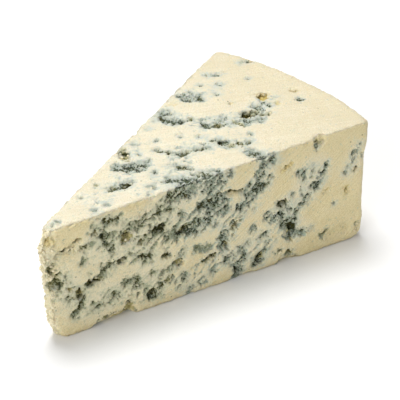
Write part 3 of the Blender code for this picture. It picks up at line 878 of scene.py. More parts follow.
@dataclass
class CheeseBody:
    """The wedge itself: a fine-celled copy of the solid with veins and pits worked into it."""

    form: Form
    marbling: Marbling
    cell: float = 0.95 * MM
    smoothing: int = 2
    busy_limits: tuple = (0.16, 0.56)
    unseen_extra: float = 0.25
    unseen_slope: float = 0.27
    growth_reach: float = 1.4 * MM
    growth_spread: float = 0.55
    thickness: float = 0.82
    seam_growth: float = 0.55
    drawn_out: float = 1.7
    curd_reach: float = 2.1 * MM
    curd_depth: float = 0.50 * MM
    crumb_reach: float = 1.05 * MM
    crumb_depth: float = 0.34 * MM
    crumb_choice: float = 0.45
    vein_sink: float = 0.20 * MM
    paste_swell: float = 0.07 * MM
    rim_swell: float = 0.22 * MM
    drag_marks: float = 0.05 * MM
    fraying: float = 0.50 * MM
    floor_gap: float = 0.4 * MM
    fields: dict = field(default_factory=dict)

    def build(self) -> bpy.types.Object:
        """Make the wedge.

        Returns:
            The finished object, with the fields that its material reads stored on its vertices.
        """
        cheese = link_mesh("cheese", self._remade_solid())
        mesh = cheese.data
        self._refine(mesh)
        points, normals = read_points(mesh), read_normals(mesh)
        self.fields = self._fields(points, normals)
        moved = points - normals * self._sink(points, normals, self.fields)[:, None]
        moved = np.clip(moved, np.array(self.form.low), np.array(self.form.high))
        mesh.vertices.foreach_set("co", moved.reshape(-1))
        mesh.update()
        for name in MATERIAL_FIELDS:
            write_field(mesh, name, self.fields[name])
        mesh.shade_smooth()
        return cheese

    def _remade_solid(self) -> bpy.types.Mesh:
        """Remake the solid in even cells, smooth them and draw them back onto it.

        Returns:
            The mesh, with no material.
        """
        bm = bmesh.new()
        bm.from_mesh(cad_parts[SOLID].data)
        bmesh.ops.remove_doubles(bm, verts=bm.verts, dist=0.005 * MM)
        rough = bpy.data.meshes.new("rough_wedge")
        bm.to_mesh(rough)
        surface = BVHTree.FromBMesh(bm)
        bm.free()
        carrier = link_mesh("rough_wedge", rough)
        cells = carrier.modifiers.new("cells", "REMESH")
        cells.mode = "VOXEL"
        cells.voxel_size = self.cell
        depsgraph = bpy.context.evaluated_depsgraph_get()
        mesh = bpy.data.meshes.new_from_object(carrier.evaluated_get(depsgraph))
        bpy.data.objects.remove(carrier)
        bm = bmesh.new()
        bm.from_mesh(mesh)
        every_way = {"use_axis_x": True, "use_axis_y": True, "use_axis_z": True}
        for _ in range(self.smoothing):
            bmesh.ops.smooth_vert(bm, verts=bm.verts, factor=0.5, **every_way)
        for vert in bm.verts:
            vert.co = surface.find_nearest(vert.co)[0]
        bm.to_mesh(mesh)
        bm.free()
        mesh.name = "cheese"
        mesh.materials.clear()
        return mesh

    def _refine(self, mesh: bpy.types.Mesh) -> None:
        """Halve the cells at veins and pits, again where those are thickest, and leave triangles.

        Args:
            mesh: the remade solid, which is changed.
        """
        bm = bmesh.new()
        bm.from_mesh(mesh)
        for limit in self.busy_limits:
            busy = self._busy(np.array([vert.co for vert in bm.verts]), limit)
            bm.verts.index_update()
            chosen = [edge for edge in bm.edges if busy[edge.verts[0].index] or busy[edge.verts[1].index]]
            bmesh.ops.subdivide_edges(bm, edges=chosen, cuts=1, use_grid_fill=True)
        bmesh.ops.triangulate(bm, faces=bm.faces)
        bm.to_mesh(mesh)
        bm.free()

    def _busy(self, points: np.ndarray, limit: float) -> np.ndarray:
        """Which points lie where the surface is broken more than a limit, less strictly where it is seen.

        Args:
            points: places in metres, one row each.
            limit: how broken, from 0 to 1.

        Returns:
            True or False for each point.
        """
        found = self.marbling.patch_fields(points)
        depth = self.marbling.pit_fields(points)[0]
        _, lip = self.marbling.ledge_fields(points)
        edge = 0.4 * (self.form.face_depths(points)[1] < 1.5 * MM)
        edge += 0.5 * (self.form.reach(points) < self.form.tip_reach)
        unseen = points[:, 1] - self.form.axis.y > (points[:, 0] - self.form.axis.x) * self.unseen_slope
        broken = np.max([found["rough"], ramp(depth, 0.0, 0.1 * MM), lip, edge], axis=0)
        return (broken > limit + self.unseen_extra * unseen) & (points[:, 2] > self.floor_gap)

    def _fields(self, points: np.ndarray, normals: np.ndarray) -> dict:
        """Everything that the material, the relief and the loose bits need to know at each vertex.

        Args:
            points: places in metres, one row each.
            normals: the surface's direction at each.

        Returns:
            Named fields, with one number for each vertex.
        """
        noise, rind_reach = self.marbling.noise, self.form.rind_reach
        reach = self.form.reach(points)
        crumbs = noise.cells(noise.warp(points, 1.4 * MM, 0.4 * MM), self.crumb_reach)
        found = self.marbling.patch_fields(points + 0.8 * crumbs.middle)
        smooth = self.marbling.patch_fields(points)
        found["stain"], found["pale"] = smooth["stain"], smooth["pale"]
        found["back"], found["lip"] = self.marbling.ledge_fields(points)
        # The material paints the top paler and its darks lighter, for the stronger light there
        found["top"] = ramp(normals[:, 2], 0.35, 0.85)
        found["ripe"] = ramp(reach, 50 * MM, rind_reach)
        found["rind"] = ramp(reach, rind_reach - 2.6 * MM, rind_reach - 1.2 * MM)
        found["rind"] *= ramp(normals[:, 0], 0.35, 0.75)
        found["run"], found["across"], drawn = self._wire_places(points, normals)
        pits = self.marbling.pit_fields(points + 0.6 * crumbs.middle)
        # Pits are shallower on the top, which also lessens the shade painted in them there
        found["pit"] = np.clip(pits[0] / MM, 0, 1.5) * (1 - 0.35 * found["top"])
        self._add_hollows(found, points, crumbs)
        self._add_growth(found, points, drawn, crumbs, pits)
        self._add_tints(found, points, pits)
        return found

    def _add_hollows(self, found: dict, points: np.ndarray, crumbs: Cells) -> None:
        """Add the worn edges, and the hollows that the solid already has under its plain faces.

        Args:
            found: the fields so far, which gain "block", "edge", "hollow" and "fill".
            points: places in metres, one row each.
            crumbs: the crumb that each point lies in.
        """
        reach, rind_reach = self.form.reach(points), self.form.rind_reach
        below, edge = self.form.face_depths(points)
        inner = ramp(reach, 10 * MM, 14 * MM) * fade(reach, rind_reach - 3 * MM, rind_reach)
        hollow = ramp(below, 0.6 * MM, 1.5 * MM) * inner
        chip = ramp(reach, 88 * MM, 92 * MM)
        filled = 0.25 + 0.5 * chip + 0.6 * crumbs.tag * (1 - chip)
        found["block"] = crumbs.tag
        found["rough"] = np.maximum(found["rough"], 0.8 * hollow)
        found["edge"] = np.maximum(fade(edge, 0.3 * MM, 1.8 * MM), 0.8 * fade(reach, 9 * MM, 12 * MM))
        # Where the material paints shade into the hollows, near paled paste
        found["hollow"] = hollow * ramp(found["pale"], 0.05, 0.3)
        found["fill"] = np.maximum(below - 0.4 * MM, 0) * hollow * filled

    def _add_growth(self, found: dict, points: np.ndarray, drawn: np.ndarray, crumbs: Cells,
                    pits: tuple) -> None:
        """Let the mould grow along seams and crumb by crumb, and break the paste round it; the darks also get
        painted shade in seams, creases, pits and under lips.

        Args:
            found: the fields so far.
            points: places in metres, one row each.
            drawn: the same places, drawn out along the cutting wire's path.
            crumbs: the crumb that each point lies in.
            pits: what pit_fields gives.
        """
        noise = self.marbling.noise
        _, tints, rim = pits
        dark_pit = tints[SLATE] + 0.9 * tints[GREEN] + 0.2 * tints[OLIVE]
        base = np.max([found["mould"], 0.9 * dark_pit, 0.8 * found["lip"]], axis=0)
        started = ramp(base, 0.0, 0.3)
        curds = self._seams(drawn, self.curd_reach, 0.40)
        crease = fade(crumbs.gap, 0.03, 0.38)
        growth = self.thickness * base + started * self.seam_growth * (curds - 0.35)
        growth += started * self.crumb_choice * (crumbs.tag - 0.5)
        bent = noise.warp(drawn, 1.5 * MM, 0.4 * MM)
        growth += self.growth_spread * noise.fractal(bent, self.growth_reach, 2)
        mould = ramp(growth, 0.38, 0.72)
        tone = crumbs.tag * 7.31 % 1
        # Painted shade: the darks gather in seams and creases, in the pits' upper sides and under lips, and
        # are weaker on the top, where more light falls
        shade = 1.2 * found["dark"] + 0.7 * (tone - 0.5) + 0.6 * np.maximum(curds, crease)
        lips = np.maximum(1.6 * found["lip"], (1.1 - 0.7 * found["top"]) * rim)
        in_pits = (1.2 - 0.6 * found["top"]) * dark_pit
        found["dark"] = np.max([ramp(shade, 1.0, 1.6) * mould, in_pits, lips], axis=0)
        found["lip"] = np.maximum(found["lip"], 0.7 * rim * ramp(found["rough"], 0.2, 0.7))
        found["stain"] = np.clip(found["stain"] + 0.70 * ramp(growth, 0.10, 0.60), 0, 1)
        rough = np.clip(found["rough"] + 0.5 * mould + ramp(found["pit"], 0.0, 0.5), 0, 1)
        broken = ramp(rough + 0.4 * noise.smooth(points, 2.2 * MM), 0.2, 0.8)
        found["mould"], found["tone"], found["rough"] = mould, tone, broken
        found["seam"], found["crease"] = curds * broken, crease * broken
        # deep: how far into seams, creases and pits a point lies; the material paints shade there as dark
        # flecks
        deep = 0.6 * found["seam"] + 0.5 * found["crease"] + 0.6 * found["pit"]
        found["deep"] = np.clip(deep, 0, 1)

    def _add_tints(self, found: dict, points: np.ndarray, pits: tuple) -> None:
        """Add the colours of the pits, the olive painted as shade along lips and rims, the green of the tip
        half's cut and the pale tip.

        Args:
            found: the fields so far.
            points: places in metres, one row each.
            pits: what pit_fields gives.
        """
        _, tints, rim = pits
        for tint in (OLIVE, GREEN, AMBER):
            name = tint.name.lower()
            found[name] = np.maximum(0.7 * found[name], tints[tint])
        # Painted shade: the ledges' lips and the pits' upper rims turn olive
        found["olive"] = np.max([found["olive"], found["lip"], 0.7 * rim], axis=0)
        along = self.form.offsets(points) @ np.array(self.form.along[Face.FRONT])
        tip_half = fade(along, 40 * MM, 55 * MM) * (1 - found["top"])
        found["green"] = np.maximum(found["green"], 0.75 * tip_half)
        found["pale"] = np.maximum(found["pale"], 0.7 * self.form.tip(points))

    def _seams(self, points: np.ndarray, reach: float, width: float) -> np.ndarray:
        """1 in the seams between crumbs of a size, and 0 on the crumbs."""
        bent = self.marbling.noise.warp(points, 1.3 * reach, 0.35 * reach)
        return fade(self.marbling.noise.cells(bent, reach).gap, 0.03, width)

    def _sink(self, points: np.ndarray, normals: np.ndarray, fields: dict) -> np.ndarray:
        """How far each vertex goes in under the smooth face.

        Args:
            points: places in metres, one row each.
            normals: the surface's direction at each.
            fields: what _fields gives.

        Returns:
            One distance in metres for each vertex, and none where the wedge rests.
        """
        noise = self.marbling.noise
        grit = 0.5 + 0.5 * noise.fractal(points, 0.8 * MM, 2)
        veins = fields["mould"] * self.vein_sink * (0.5 + grit)
        crumbled = fields["seam"] * self.curd_depth + fields["crease"] * self.crumb_depth
        crumbled *= 0.5 + 0.5 * ramp(fields["stain"], 0.1, 0.6)
        pits = fields["pit"] * MM * (1.05 + 0.4 * grit)
        swell = self.paste_swell * (0.5 + 0.5 * noise.fractal(points, 3.2 * MM, 3))
        reach, rind_reach = self.form.reach(points), self.form.rind_reach
        rim = ramp(reach, rind_reach - 26 * MM, rind_reach - 6 * MM) * fields["top"]
        swell += rim * self.rim_swell * (0.5 + 0.5 * noise.fractal(points, 2.6 * MM, 2))
        lines = noise.fractal(np.stack([fields["run"] / 9, fields["across"], fields["top"]], axis=1), 0.6, 2)
        drag = self.drag_marks * lines * (1 - fields["rind"])
        worn = ramp(noise.fractal(points, 1.3 * MM, 3), -0.2, 0.7) + 0.9 * ramp(fields["block"], 0.35, 0.9)
        tip = self.form.tip(points)
        lumps = 1.5 * ramp(noise.smooth(points, 1.7 * MM), 0.0, 0.6) + 1.2 * ramp(fields["tone"], 0.2, 0.8)
        worn += tip * lumps
        fray = fields["edge"] * self.fraying * worn * (0.5 + 0.5 * tip)
        sink = veins + crumbled + pits + swell + drag + fray + fields["back"] - fields["fill"]
        rests = (points[:, 2] < self.floor_gap) & (normals[:, 2] < -0.7)
        return np.where(rests, 0.0, sink)

    def _wire_places(self, points: np.ndarray, normals: np.ndarray) -> tuple:
        """Where each point lies on the path of the cutting wire, which rises more towards the rind.

        Args:
            points: places in metres, one row each.
            normals: the surface's direction at each.

        Returns:
            Millimetres along the path, millimetres across it, and places drawn out along it.
        """
        facing = np.stack([normals @ np.array(way) for way in self.form.outward.values()], axis=1)
        chosen = np.argmax(facing, axis=1)
        offset = self.form.offsets(points) / MM
        run, across, out = np.zeros(len(points)), np.zeros(len(points)), np.zeros(len(points))
        for number, face in enumerate(self.form.outward):
            first, second, outward = self.form.array_axes(face)
            along, up = offset @ first, offset @ second
            rise = 0.30 * along + 0.0024 * along**2 if face in (Face.FRONT, Face.BACK) else -0.3 * along
            mine = chosen == number
            run[mine], across[mine] = along[mine], (up - rise)[mine]
            out[mine] = (offset @ outward)[mine] + 40 * number
        return run, across, np.stack([run / self.drawn_out, across, out], axis=1) * MM

    def grain_weights(self, points: np.ndarray) -> np.ndarray:
        """How likely a dark grain is to sit at each vertex: in dark mould, clear of the floor."""
        grainy = ramp(self.fields["dark"] * self.fields["mould"], 0.35, 0.8)
        return np.where(points[:, 2] > 2 * self.floor_gap, grainy, 0)

    def crumb_weights(self, points: np.ndarray) -> np.ndarray:
        """How likely a crumb is to sit at each vertex: on clean broken paste, and most at the tip."""
        clean = (1 - self.fields["seam"]) * fade(self.fields["stain"], 0.3, 0.7)
        at_tip = fade(self.form.reach(points), 7.0 * MM, 9.0 * MM)
        crumbly = np.maximum(ramp(self.fields["rough"], 0.3, 0.9), 0.6 * at_tip) * clean * (1 + 4 * at_tip)
        crumbly *= fade(self.fields["amber"], 0.0, 0.3)
        return np.where(points[:, 2] > 2 * self.floor_gap, crumbly, 0)


@dataclass(frozen=True)
class LooseBits:
    """Small pieces lying on the cheese: many little lumps joined into one mesh."""

    name: str
    slot: str
    seed: int
    count: int
    smallest: float
    largest: float
    fineness: int
    sunk: float = 0.10

    def build(self, seats: np.ndarray, outward: np.ndarray, form: Form) -> bpy.types.Object:
        """Make the lumps.

        Args:
            seats: where each lump sits, in metres.
            outward: the surface's direction there.
            form: the wedge's own form, whose box the lumps stay in.

        Returns:
            One object of all the lumps.
        """
        draw = np.random.default_rng(self.seed)
        bm = bmesh.new()
        bmesh.ops.create_icosphere(bm, subdivisions=self.fineness, radius=1.0)
        ball = np.array([vert.co for vert in bm.verts])
        sides = np.array([[vert.index for vert in side.verts] for side in bm.faces])
        bm.free()
        uneven = 0.5 / self.fineness**2
        lumps = []
        for seat, way in zip(seats, outward):
            radius = self.smallest + (self.largest - self.smallest) * draw.random() ** 2
            turn = np.array(Vector(draw.normal(size=3)).to_track_quat("Z", "Y").to_matrix())
            lump = (ball * draw.uniform(0.7, 1.3, 3) * radius) @ turn.T
            lump *= draw.uniform(1 - uneven, 1 + uneven, (len(ball), 1))
            lumps.append(seat - way * radius * self.sunk + lump)
        points = np.clip(np.concatenate(lumps), np.array(form.low), np.array(form.high))
        faces = np.concatenate([sides + len(ball) * number for number in range(len(lumps))])
        mesh = bpy.data.meshes.new(self.name)
        mesh.from_pydata(points, [], faces.tolist())
        mesh.shade_smooth()
        return link_mesh(self.name, mesh)


GRAINS = LooseBits("mould_grains", "mould", 21, 2200, 0.08 * MM, 0.24 * MM, 1)
CRUMBS = LooseBits("crumbs", "crumb", 22, 460, 0.12 * MM, 0.42 * MM, 2)


class NodeTree:
    """A short way to write shader nodes."""

    def __init__(self, tree: bpy.types.NodeTree) -> None:
        """Keep the tree that nodes are added to."""
        self.tree = tree

    def add(self, kind: str, inputs: dict, **settings: object) -> bpy.types.Node:
        """Add a node.

        Args:
            kind: its type.
            inputs: links or plain values for its inputs, by name or number.
            settings: its own settings.

        Returns:
            The node.
        """
        node = self.tree.nodes.new(kind)
        for name, value in settings.items():
            setattr(node, name, value)
        for name, value in inputs.items():
            self.put(node.inputs[name], value)
        return node

    def put(self, socket: bpy.types.NodeSocket, value: object) -> None:
        """Give a socket a link or a plain value.

        Args:
            socket: the socket that takes it.
            value: a Value, a number, or a colour of three shares.
        """
        if isinstance(value, Value):
            self.tree.links.new(value.socket, socket)
        elif isinstance(value, tuple):
            size = len(socket.default_value)
            socket.default_value = (*value, 1.0) if size == 4 else value
        else:
            socket.default_value = value

    def outputs(self, node: bpy.types.Node) -> dict:
        """A node's outputs by name, as values."""
        return {socket.name: Value(self, socket) for socket in reversed(node.outputs)}

    def math(self, operation: str, first: object, second: object, clamp: bool = False) -> "Value":
        """The result of a sum on two values."""
        node = self.add("ShaderNodeMath", {0: first, 1: second}, operation=operation, use_clamp=clamp)
        return Value(self, node.outputs[0])

    def larger(self, first: object, second: object) -> "Value":
        """The larger of two values."""
        return self.math("MAXIMUM", first, second)

    def mix(self, share: object, first: object, second: object) -> "Value":
        """One colour fading into another."""
        node = self.add("ShaderNodeMix", {"Factor": share, 6: first, 7: second}, data_type="RGBA")
        return Value(self, node.outputs[2])

    def ramp(self, value: object, low: float, high: float) -> "Value":
        """A smooth step from 0 at low to 1 at high."""
        inputs = {"Value": value, "From Min": low, "From Max": high}
        node = self.add("ShaderNodeMapRange", inputs, interpolation_type="SMOOTHSTEP", clamp=True)
        return Value(self, node.outputs["Result"])

    def field(self, name: str) -> "Value":
        """A number stored on the vertices."""
        return Value(self, self.add("ShaderNodeAttribute", {}, attribute_name=name).outputs["Fac"])

    def places(self) -> "Value":
        """The place on the object, in metres."""
        return Value(self, self.add("ShaderNodeTexCoord", {}).outputs["Object"])


@dataclass(frozen=True)
class Value:
    """What a node puts out, in a form that plain sums can be written with."""

    tree: NodeTree
    socket: bpy.types.NodeSocket

    def __add__(self, other: object) -> "Value":
        """This and another value together."""
        return self.tree.math("ADD", self, other)

    def __sub__(self, other: object) -> "Value":
        """This less another value."""
        return self.tree.math("SUBTRACT", self, other)

    def __rsub__(self, other: float) -> "Value":
        """A number less this."""
        return self.tree.math("SUBTRACT", other, self)

    def __mul__(self, other: object) -> "Value":
        """This times another value."""
        return self.tree.math("MULTIPLY", self, other)

    def __truediv__(self, other: object) -> "Value":
        """This divided by another value."""
        return self.tree.math("DIVIDE", self, other)

    __radd__ = __add__
    __rmul__ = __mul__


@dataclass
class SharedEffects:
    """Shader node groups that more than one finish uses."""

    def __post_init__(self) -> None:
        """Build each group once."""
        self.mottle = self._mottle()
        self.speckle = self._speckle()
        self.crumble = self._crumble()

    @staticmethod
    def _group(name: str, inputs: dict, outputs: tuple) -> tuple:
        """Start a group that reads a place and some numbers, and puts out numbers.

        Args:
            name: the group's name.
            inputs: the usual value of each number that it takes, by name.
            outputs: the names of what it puts out.

        Returns:
            The group, its nodes, its inputs by name, and the node that takes its outputs.
        """
        group = bpy.data.node_groups.new(name, "ShaderNodeTree")
        group.interface.new_socket("Place", in_out="INPUT", socket_type="NodeSocketVector")
        for label, value in inputs.items():
            socket = group.interface.new_socket(label, in_out="INPUT", socket_type="NodeSocketFloat")
            socket.default_value = value
        for label in outputs:
            group.interface.new_socket(label, in_out="OUTPUT", socket_type="NodeSocketFloat")
        tree = NodeTree(group)
        return group, tree, tree.outputs(tree.add("NodeGroupInput", {})), tree.add("NodeGroupOutput", {})

    def _mottle(self) -> bpy.types.NodeTree:
        """Slow uneven patches, between 0 and 1.

        Returns:
            The group.
        """
        group, tree, given, end = self._group("Mottle", {"Scale": 200.0, "Sharpness": 2.0}, ("Share",))
        inputs = {"Vector": given["Place"], "Scale": given["Scale"], "Detail": 4.0}
        noise = tree.add("ShaderNodeTexNoise", inputs)
        spread = (tree.outputs(noise)["Fac"] - 0.5) * given["Sharpness"]
        tree.put(end.inputs["Share"], tree.math("ADD", spread, 0.5, clamp=True))
        return group

    def _speckle(self) -> bpy.types.NodeTree:
        """Small separate dots in a share of the places, between 0 and 1.

        Returns:
            The group.
        """
        numbers = {"Scale": 700.0, "Size": 0.2, "Share": 0.1}
        group, tree, given, end = self._group("Speckle", numbers, ("Dots",))
        cells = tree.add("ShaderNodeTexVoronoi", {"Vector": given["Place"], "Scale": given["Scale"]})
        found = tree.outputs(cells)
        parts = tree.outputs(tree.add("ShaderNodeSeparateColor", {"Color": found["Color"]}))
        dot = tree.ramp(1.0 - found["Distance"] / given["Size"], 0.0, 0.5)
        chosen = tree.math("LESS_THAN", parts["Red"], given["Share"])
        tree.put(end.inputs["Dots"], dot * chosen)
        return group

    def _crumble(self) -> bpy.types.NodeTree:
        """Cracks between small crumbs, and a tone for each crumb, both between 0 and 1.

        Returns:
            The group.
        """
        numbers = {"Scale": 1000.0, "Bend": 0.5 * MM}
        group, tree, given, end = self._group("Crumble", numbers, ("Crack", "Tone"))
        noise = tree.add("ShaderNodeTexNoise", {"Vector": given["Place"], "Scale": given["Scale"]})
        bend = {0: tree.outputs(noise)["Color"], 1: given["Bend"], 2: given["Place"]}
        bent = tree.outputs(tree.add("ShaderNodeVectorMath", bend, operation="MULTIPLY_ADD"))["Vector"]
        where = {"Vector": bent, "Scale": given["Scale"]}
        edges = tree.add("ShaderNodeTexVoronoi", where, feature="DISTANCE_TO_EDGE")
        cells = tree.add("ShaderNodeTexVoronoi", where)
        tree.put(end.inputs["Crack"], 1.0 - tree.ramp(tree.outputs(edges)["Distance"], 0.02, 0.20))
        parts = tree.add("ShaderNodeSeparateColor", {"Color": tree.outputs(cells)["Color"]})
        tree.put(end.inputs["Tone"], tree.outputs(parts)["Green"])
        return group


def use_group(tree: NodeTree, group: bpy.types.NodeTree, output: str, **inputs: object) -> Value:
    """Place a shared effect in a material.

    Args:
        tree: the material's nodes.
        group: the shared effect.
        output: which of its outputs is wanted.
        inputs: its inputs' values.

    Returns:
        What it puts out.
    """
    node = tree.add("ShaderNodeGroup", {}, node_tree=group)
    for name, value in inputs.items():
        tree.put(node.inputs[name], value)
    return Value(tree, node.outputs[output])


def new_material(name: str) -> tuple:
    """A new material, its nodes and its shader."""
    material = bpy.data.materials.new(name)
    material.use_nodes = True
    return material, NodeTree(material.node_tree), material.node_tree.nodes["Principled BSDF"]


@dataclass(frozen=True)
class CheeseFinish:
    """Cream paste with blue mould, olive pits and a dry rind, with the shade in pits, hollows, cracks and
    under lips, and the top's stronger light, partly painted into its colour.
    """

    # Painted light: the top's paste is a paler, less yellow copy of the cut's paste, for the stronger light
    # on the top
    top_paste: tuple = (0.98, 0.92, 0.74)
    top_deep: tuple = (0.77, 0.68, 0.46)
    cut_paste: tuple = (0.90, 0.80, 0.52)
    cut_deep: tuple = (0.72, 0.60, 0.30)
    # Painted shade: pits and hollows turn this olive-yellow, for their shade and the light coming through the
    # paste
    hollow: tuple = (0.52, 0.45, 0.14)
    chalk: tuple = (0.84, 0.82, 0.67)
    top_halo: tuple = (0.59, 0.645, 0.57)
    cut_halo: tuple = (0.60, 0.62, 0.48)
    olive_stain_and_shade: tuple = (0.52, 0.49, 0.22)
    pale_slate: tuple = (0.51, 0.60, 0.48)
    slate: tuple = (0.31, 0.37, 0.26)
    # Painted light: the top's flecks are a lighter copy of the cut's, whose crevices lie in more shade
    top_night: tuple = (0.065, 0.095, 0.035)
    night: tuple = (0.038, 0.050, 0.009)
    fringe: tuple = (0.24, 0.23, 0.08)
    green: tuple = (0.14, 0.13, 0.03)
    moss: tuple = (0.30, 0.31, 0.13)
    olive: tuple = (0.36, 0.30, 0.06)
    amber: tuple = (0.72, 0.56, 0.18)
    rind_pale: tuple = (0.86, 0.76, 0.50)
    rind_dark: tuple = (0.68, 0.57, 0.34)
    light_depth: tuple = (1.0, 0.75, 0.42)
    slow_scale: float = 110.0
    lace_scale: float = 1250.0
    grain_scale: float = 3000.0
    crumb_scale: float = 2300.0
    crack_scale: float = 1050.0
    fine_crack_scale: float = 2000.0
    crumb_bend: float = 0.15 * MM
    crack_bend: float = 0.2 * MM
    dot_scale: float = 800.0
    dot_size: float = 0.24
    blotch_scale: float = 260.0
    body_limits: tuple = (0.42, 0.76)
    fringe_limits: tuple = (0.66, 0.86)
    fleck_limits: tuple = (0.86, 0.95)
    body_sunk: float = 0.08
    fleck_sunk: float = 0.16
    crack_sunk: float = 0.22
    wire_raised: float = 0.12
    grain_raised: float = 0.05
    top_grain_raised: float = 0.06

    def build(self, effects: SharedEffects) -> bpy.types.Material:
        """Make the material.

        Args:
            effects: the shared node groups.

        Returns:
            The material.
        """
        material, tree, shader = new_material("blue_cheese")
        place = tree.places()
        slow = use_group(tree, effects.mottle, "Share", Place=place, Scale=self.slow_scale, Sharpness=2.2)
        lace = use_group(tree, effects.mottle, "Share", Place=place, Scale=self.lace_scale, Sharpness=3.2)
        grain = use_group(tree, effects.mottle, "Share", Place=place, Scale=self.grain_scale, Sharpness=4.0)
        crumb = use_group(tree, effects.crumble, "Tone", Place=place, Scale=self.crumb_scale,
                          Bend=self.crumb_bend)
        crack = self._crack(tree, place, effects)
        wire = self._wire(tree, effects)
        uneven = grain + (crumb - 0.5) * tree.field("rough")
        colour = self._paste(tree, slow, uneven, wire)
        colour = self._stains_and_hollow_shade(tree, colour, place, effects, lace)
        body = self._body(tree, lace - 0.5, crumb - 0.5)
        fleck, fringe = self._fleck(tree, crack, lace - 0.5, crumb - 0.5)
        colour = tree.mix(body, colour, self._mould(tree, crumb))
        # Painted light: the flecks' fringes are weaker on the top
        colour = tree.mix(fringe * (0.37 - tree.field("top") * 0.17), colour, self.fringe)
        colour = tree.mix(fleck, colour, self._dark(tree))
        tree.put(shader.inputs["Base Color"], self._rind(tree, colour, place, effects))
        tree.put(shader.inputs["Roughness"], 0.50 + grain * 0.16)
        tree.put(shader.inputs["Specular IOR Level"], 0.32)
        tree.put(shader.inputs["Subsurface Weight"], 0.22)
        tree.put(shader.inputs["Subsurface Radius"], self.light_depth)
        tree.put(shader.inputs["Subsurface Scale"], 0.7 * MM)
        tree.put(shader.inputs["Normal"], self._relief(tree, body, fleck, crack, grain, wire))
        return material

    def _crack(self, tree: NodeTree, place: Value, effects: SharedEffects) -> Value:
        """Cracks between crumbs, and finer ones within the mould.

        Args:
            tree: the material's nodes.
            place: the place on the object.
            effects: the shared node groups.

        Returns:
            The cracks, from 0 to 1.
        """
        wide = use_group(tree, effects.crumble, "Crack", Place=place, Scale=self.crack_scale)
        fine = use_group(tree, effects.crumble, "Crack", Place=place, Scale=self.fine_crack_scale,
                         Bend=self.crack_bend)
        mouldy = 0.25 + tree.field("stain") * 0.75
        wide = wide * tree.field("rough") * mouldy
        fine = fine * (mouldy * tree.field("mould"))
        return tree.larger(wide, fine * 0.75)

    def _wire(self, tree: NodeTree, effects: SharedEffects) -> Value:
        """Thin lines along the path of the cutting wire, between 0 and 1."""
        along = {"X": tree.field("run") / 14.0, "Y": tree.field("across"), "Z": tree.field("top")}
        lines = tree.outputs(tree.add("ShaderNodeCombineXYZ", along))["Vector"]
        return use_group(tree, effects.mottle, "Share", Place=lines, Scale=1.5, Sharpness=2.4)

    def _paste(self, tree: NodeTree, slow: Value, grain: Value, wire: Value) -> Value:
        """Colour of the plain paste, paler on the top than on the cuts as painted light for the top's
        stronger light, and deeper towards the rind.
        """
        share = slow * 0.25 + grain * 0.55 + wire * 0.3
        top = tree.mix(share + tree.field("ripe") * 0.35, self.top_paste, self.top_deep)
        cut = tree.mix(share, self.cut_paste, self.cut_deep)
        return tree.mix(tree.field("top"), cut, top)

    def _stains_and_hollow_shade(self, tree: NodeTree, paste: Value, place: Value, effects: SharedEffects,
                lace: Value) -> Value:
        """The pale haze that soaks into the paste round mould, and the olive-yellow painted into pits and
        hollows for their shade and the light coming through the paste.
            effects: the shared node groups.
            lace: small patches, between 0 and 1.

        Returns:
            The paste's colour with its stains.
        """
        centred = lace - 0.5
        chalky = tree.ramp(tree.field("pale") + centred * 0.25, 0.15, 1.0)
        paste = tree.mix(chalky * 0.6, paste, self.chalk)
        soaked = tree.ramp(tree.field("stain") + centred * 0.40, 0.0, 1.0)
        halo = tree.mix(tree.field("top"), self.cut_halo, self.top_halo)
        # The halo turns olive where old mould is, and along the painted shade of lips and rims
        olive_stain_and_shade = tree.larger(tree.field("olive"), tree.field("green") * 0.4)
        colour = tree.mix(soaked * 0.85, paste, tree.mix(olive_stain_and_shade, halo, self.olive_stain_and_shade))
        # Painted light and shade: the deeper a pit or hollow, the more of the olive-yellow
        deepest = tree.larger(tree.field("pit"), tree.field("hollow")) + centred * 0.9
        colour = tree.mix(tree.ramp(deepest, 0.25, 0.9) * 0.75, colour, self.hollow)
        colour = tree.mix(tree.field("amber") * (0.45 + lace * 0.7), colour, self.amber)
        share = 0.02 + tree.field("stain") * 0.22
        dots = use_group(tree, effects.speckle, "Dots", Place=place, Scale=self.dot_scale, Size=self.dot_size,
                         Share=share)
        return tree.mix(dots * 0.75, colour, self.green)

    def _body(self, tree: NodeTree, lace: Value, crumb: Value) -> Value:
        """Where the mould's grey-blue body lies, from 0 to 1."""
        return tree.ramp(tree.field("mould") + lace * 0.70 + crumb * 0.75, *self.body_limits) * 0.82

    def _mould(self, tree: NodeTree, crumb: Value) -> Value:
        """Colour of the mould's body: blue-grey with a tone for each crumb, paler on the top as painted
        light, and moss or olive in places, the olive partly painted shade.

        Args:
            tree: the material's nodes.
            crumb: a tone for each crumb, from 0 to 1.

        Returns:
            The colour.
        """
        top = tree.field("top")
        # Painted light: the body is paler on the top, and drawn towards the top's halo colour
        light = crumb * 0.8 + tree.field("tone") * 0.4 + top * 0.22
        bluish = tree.mix(tree.ramp(light, 0.05, 0.75), self.slate, self.pale_slate)
        bluish = tree.mix(top * 0.62, bluish, self.top_halo)
        bluish = tree.mix(tree.field("green") * 0.7, bluish, self.moss)
        return tree.mix(tree.field("olive"), bluish, self.olive)

    def _fleck(self, tree: NodeTree, crack: Value, lace: Value, crumb: Value) -> tuple:
        """Where the dark flecks lie, thickest in the cracks and pits, partly as mould and partly as painted
        shade in those recesses and under lips.

        Args:
            tree: the material's nodes.
            crack: the cracks, from 0 to 1.
            lace: small patches, from -0.5 to 0.5.
            crumb: a tone for each crumb, from -0.5 to 0.5.

        Returns:
            The flecks and their fringes, from 0 to 1.
        """
        top, stained = tree.field("top"), tree.ramp(tree.field("stain"), 0.15, 0.65)
        total = tree.field("dark") * (0.42 + top * 0.09)
